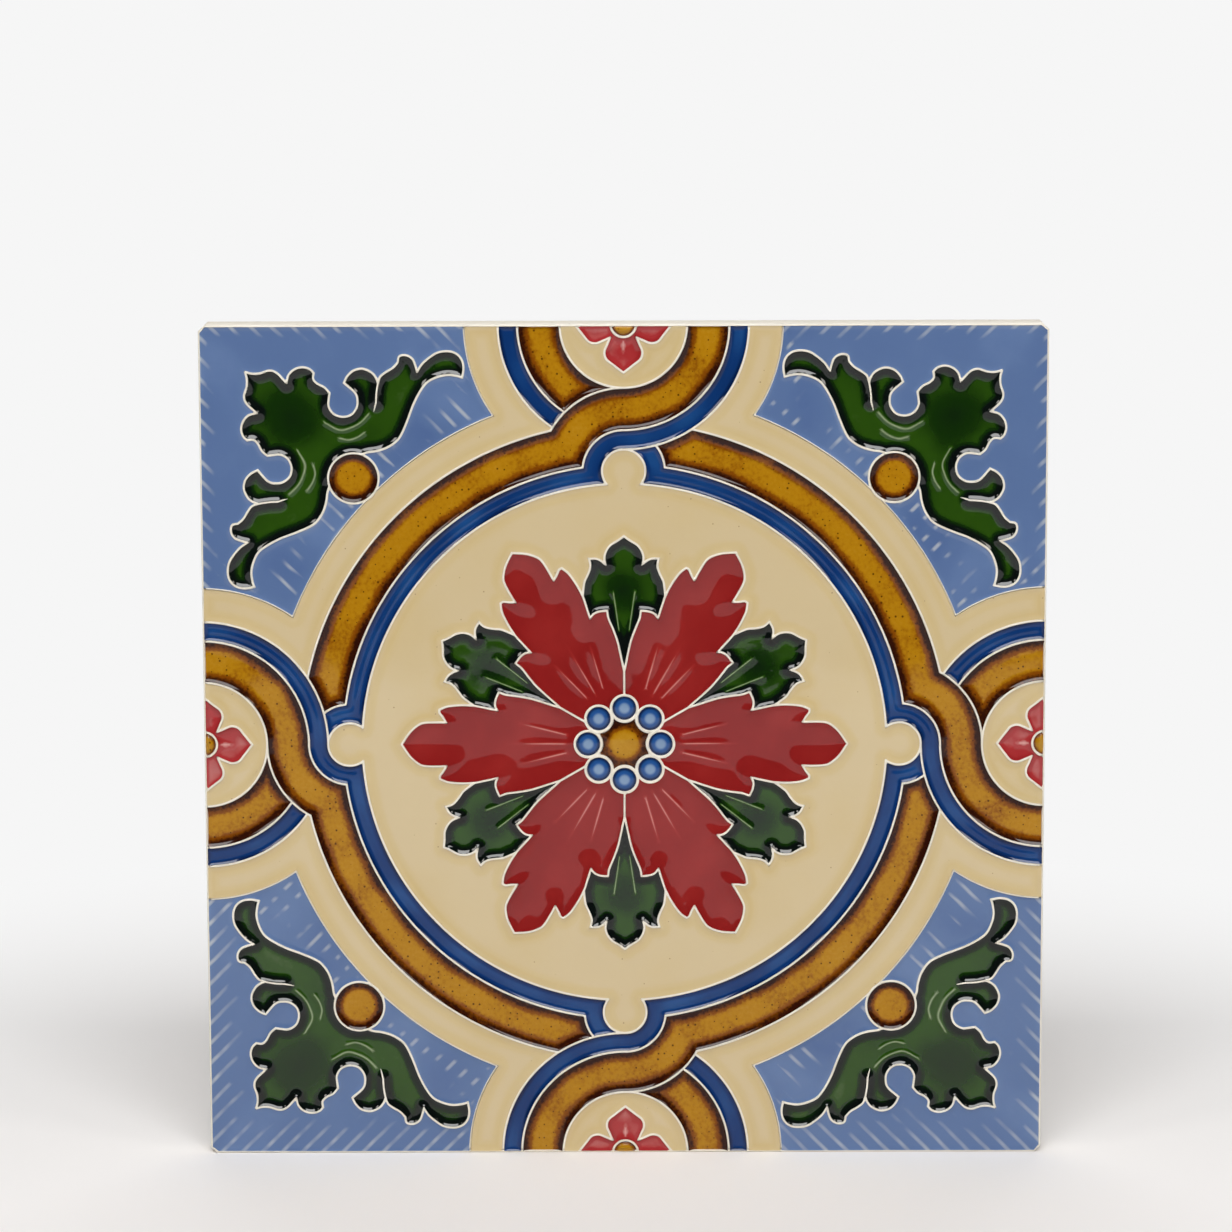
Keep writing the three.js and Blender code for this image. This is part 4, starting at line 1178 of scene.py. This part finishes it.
def dished(points, edge):
    height = BOSS_LEVEL + meniscus(edge, climb=0.34, reach=1.5, lip=0.14)
    depth = 1.0 - eased((edge - 0.55) / 1.3) * 0.96 + 0.08 * wander(points, 3, 72)
    return height + 0.02 * wander(points, 5, 73), np.clip(depth, -0.1, 1)


half_dome = domed(EDGE, radius=EDGE_BOSS, low=8.62, shoulder=0.4, rise=0.3, thin=0.5, thick=1.0)
for name, outline, surface in (
        ("corner_boss", circle(BOSS, BOSS_RADIUS), dished), ("edge_boss", joined(edge_boss_ring), half_dome)):
    for piece in pool(name, outline, surface, amber, quarters, grid=0.3, rows=SMALL_ROWS, stands_for=False):
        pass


# The studio. A pale floor and a pale wall stand behind the tile, which soft lamps light from above. The floor
# ends in front of the tile, because the glaze mirrors the floor only up to there.
ROOM = 2.5
FLOOR_FRONT = -0.56
AIM = (0, 0, 0.07)
WARM = (1, 0.94, 0.88)


def pale_material(name, colour, shown, near, far):
    """A pale matt finish that fades, from near to far from the tile, to a pale plain background."""
    material, tree, surface, place = new_finish(name)
    shaded = tuple(c * 0.985 for c in colour[:3]) + (1.0,)
    wire(tree, surface, Base_Color=mixed(tree, noise(tree, place, 3.0, 2.0), colour, shaded), Roughness=0.9,
         Specular_IOR_Level=0.1)
    length = add(tree, "ShaderNodeVectorMath", operation="LENGTH", in_0=place).outputs["Value"]
    fade = add(tree, "ShaderNodeMapRange", Value=length, From_Min=near, From_Max=far,
               interpolation_type="SMOOTHSTEP")
    path_of = add(tree, "ShaderNodeLightPath").outputs
    seen = calc(tree, "ADD", path_of["Is Camera Ray"], path_of["Is Glossy Ray"], clamp=True)
    seen = calc(tree, "ADD", seen, path_of["Is Transmission Ray"], clamp=True)
    glow = add(tree, "ShaderNodeEmission", Color=shown, Strength=1.0)
    mix = add(tree, "ShaderNodeMixShader", Fac=calc(tree, "MULTIPLY", seen, fade.outputs[0]),
              in_1=surface.outputs[0], in_2=glow.outputs[0])
    wire(tree, tree.nodes["Material Output"], Surface=mix.outputs[0])
    return material


def lying(near, far):
    return [(-ROOM, near, 0), (ROOM, near, 0), (ROOM, far, 0), (-ROOM, far, 0)]


def upright(start, end):
    return [(*start, 0), (*end, 0), (*end, ROOM), (*start, ROOM)]


def sheet(name, corners, material):
    made = mesh_piece(name, np.array(corners, float), [(0, 1, 2, 3)], material)
    return made


background = srgb(246, 246, 246)
floor_finish = pale_material("pale floor", srgb(247, 245, 244), background, 0.09, 0.28)
wall_finish = pale_material("pale wall", srgb(240, 240, 240), background, 0.0, 0.1)
sheet("studio_floor", lying(FLOOR_FRONT, ROOM), floor_finish)
sheet("studio_wall", upright((-ROOM, ROOM), (ROOM, ROOM)), wall_finish)
# The room in front of the table is dark to the glaze, as in the photograph, and pale to a camera behind.
for name, corners in (
        ("studio_floor_front", lying(-ROOM, FLOOR_FRONT)),
        ("studio_wall_front", upright((-ROOM, -ROOM), (ROOM, -ROOM))),
        ("studio_wall_left", upright((-ROOM, -ROOM), (-ROOM, ROOM))),
        ("studio_wall_right", upright((ROOM, -ROOM), (ROOM, ROOM)))):
    backdrop = sheet(name, corners, wall_finish)
    backdrop.visible_glossy = backdrop.visible_diffuse = backdrop.visible_shadow = False

for name, place, size, power, colour in (
        ("front above", (0.0, -0.9, 1.15), (1.1, 0.55), 16.6, (1, 1, 1)),
        ("left above", (-1.05, -0.75, 0.95), (0.45, 0.3), 3.2, WARM),
        ("right above", (1.05, -0.75, 0.95), (0.45, 0.3), 3.2, WARM),
        ("behind above", (0.0, 0.9, 1.2), (1.1, 0.6), 5.0, (1, 1, 1))):
    light = bpy.data.lights.new(name, "AREA")
    light.shape = "RECTANGLE"
    light.size, light.size_y = size
    light.energy = power
    light.color = colour
    lamp = bpy.data.objects.new(name, light)
    lamp.location = place
    lamp.rotation_euler = (Vector(AIM) - Vector(place)).to_track_quat("-Z", "Y").to_euler()
    bpy.context.collection.objects.link(lamp)
world = bpy.data.worlds.new("studio")
bpy.context.scene.world = world
world.use_nodes = True
wire(world.node_tree, world.node_tree.nodes["Background"], Color=(0.95, 0.97, 1.0, 1), Strength=0.05)

# The camera stands where the photograph was taken from, and looks 8.4 degrees down.
camera = bpy.data.cameras.new("camera")
camera.sensor_width = 36
camera.lens = 132.1
viewer = bpy.data.objects.new("camera", camera)
viewer.location = (0.0029, -0.811, 0.2196)
viewer.rotation_euler = [math.radians(degrees) for degrees in (90 - 8.449, 0.169, 0.284)]
bpy.context.collection.objects.link(viewer)
bpy.context.scene.camera = viewer
bpy.context.scene.view_settings.view_transform = "Standard"
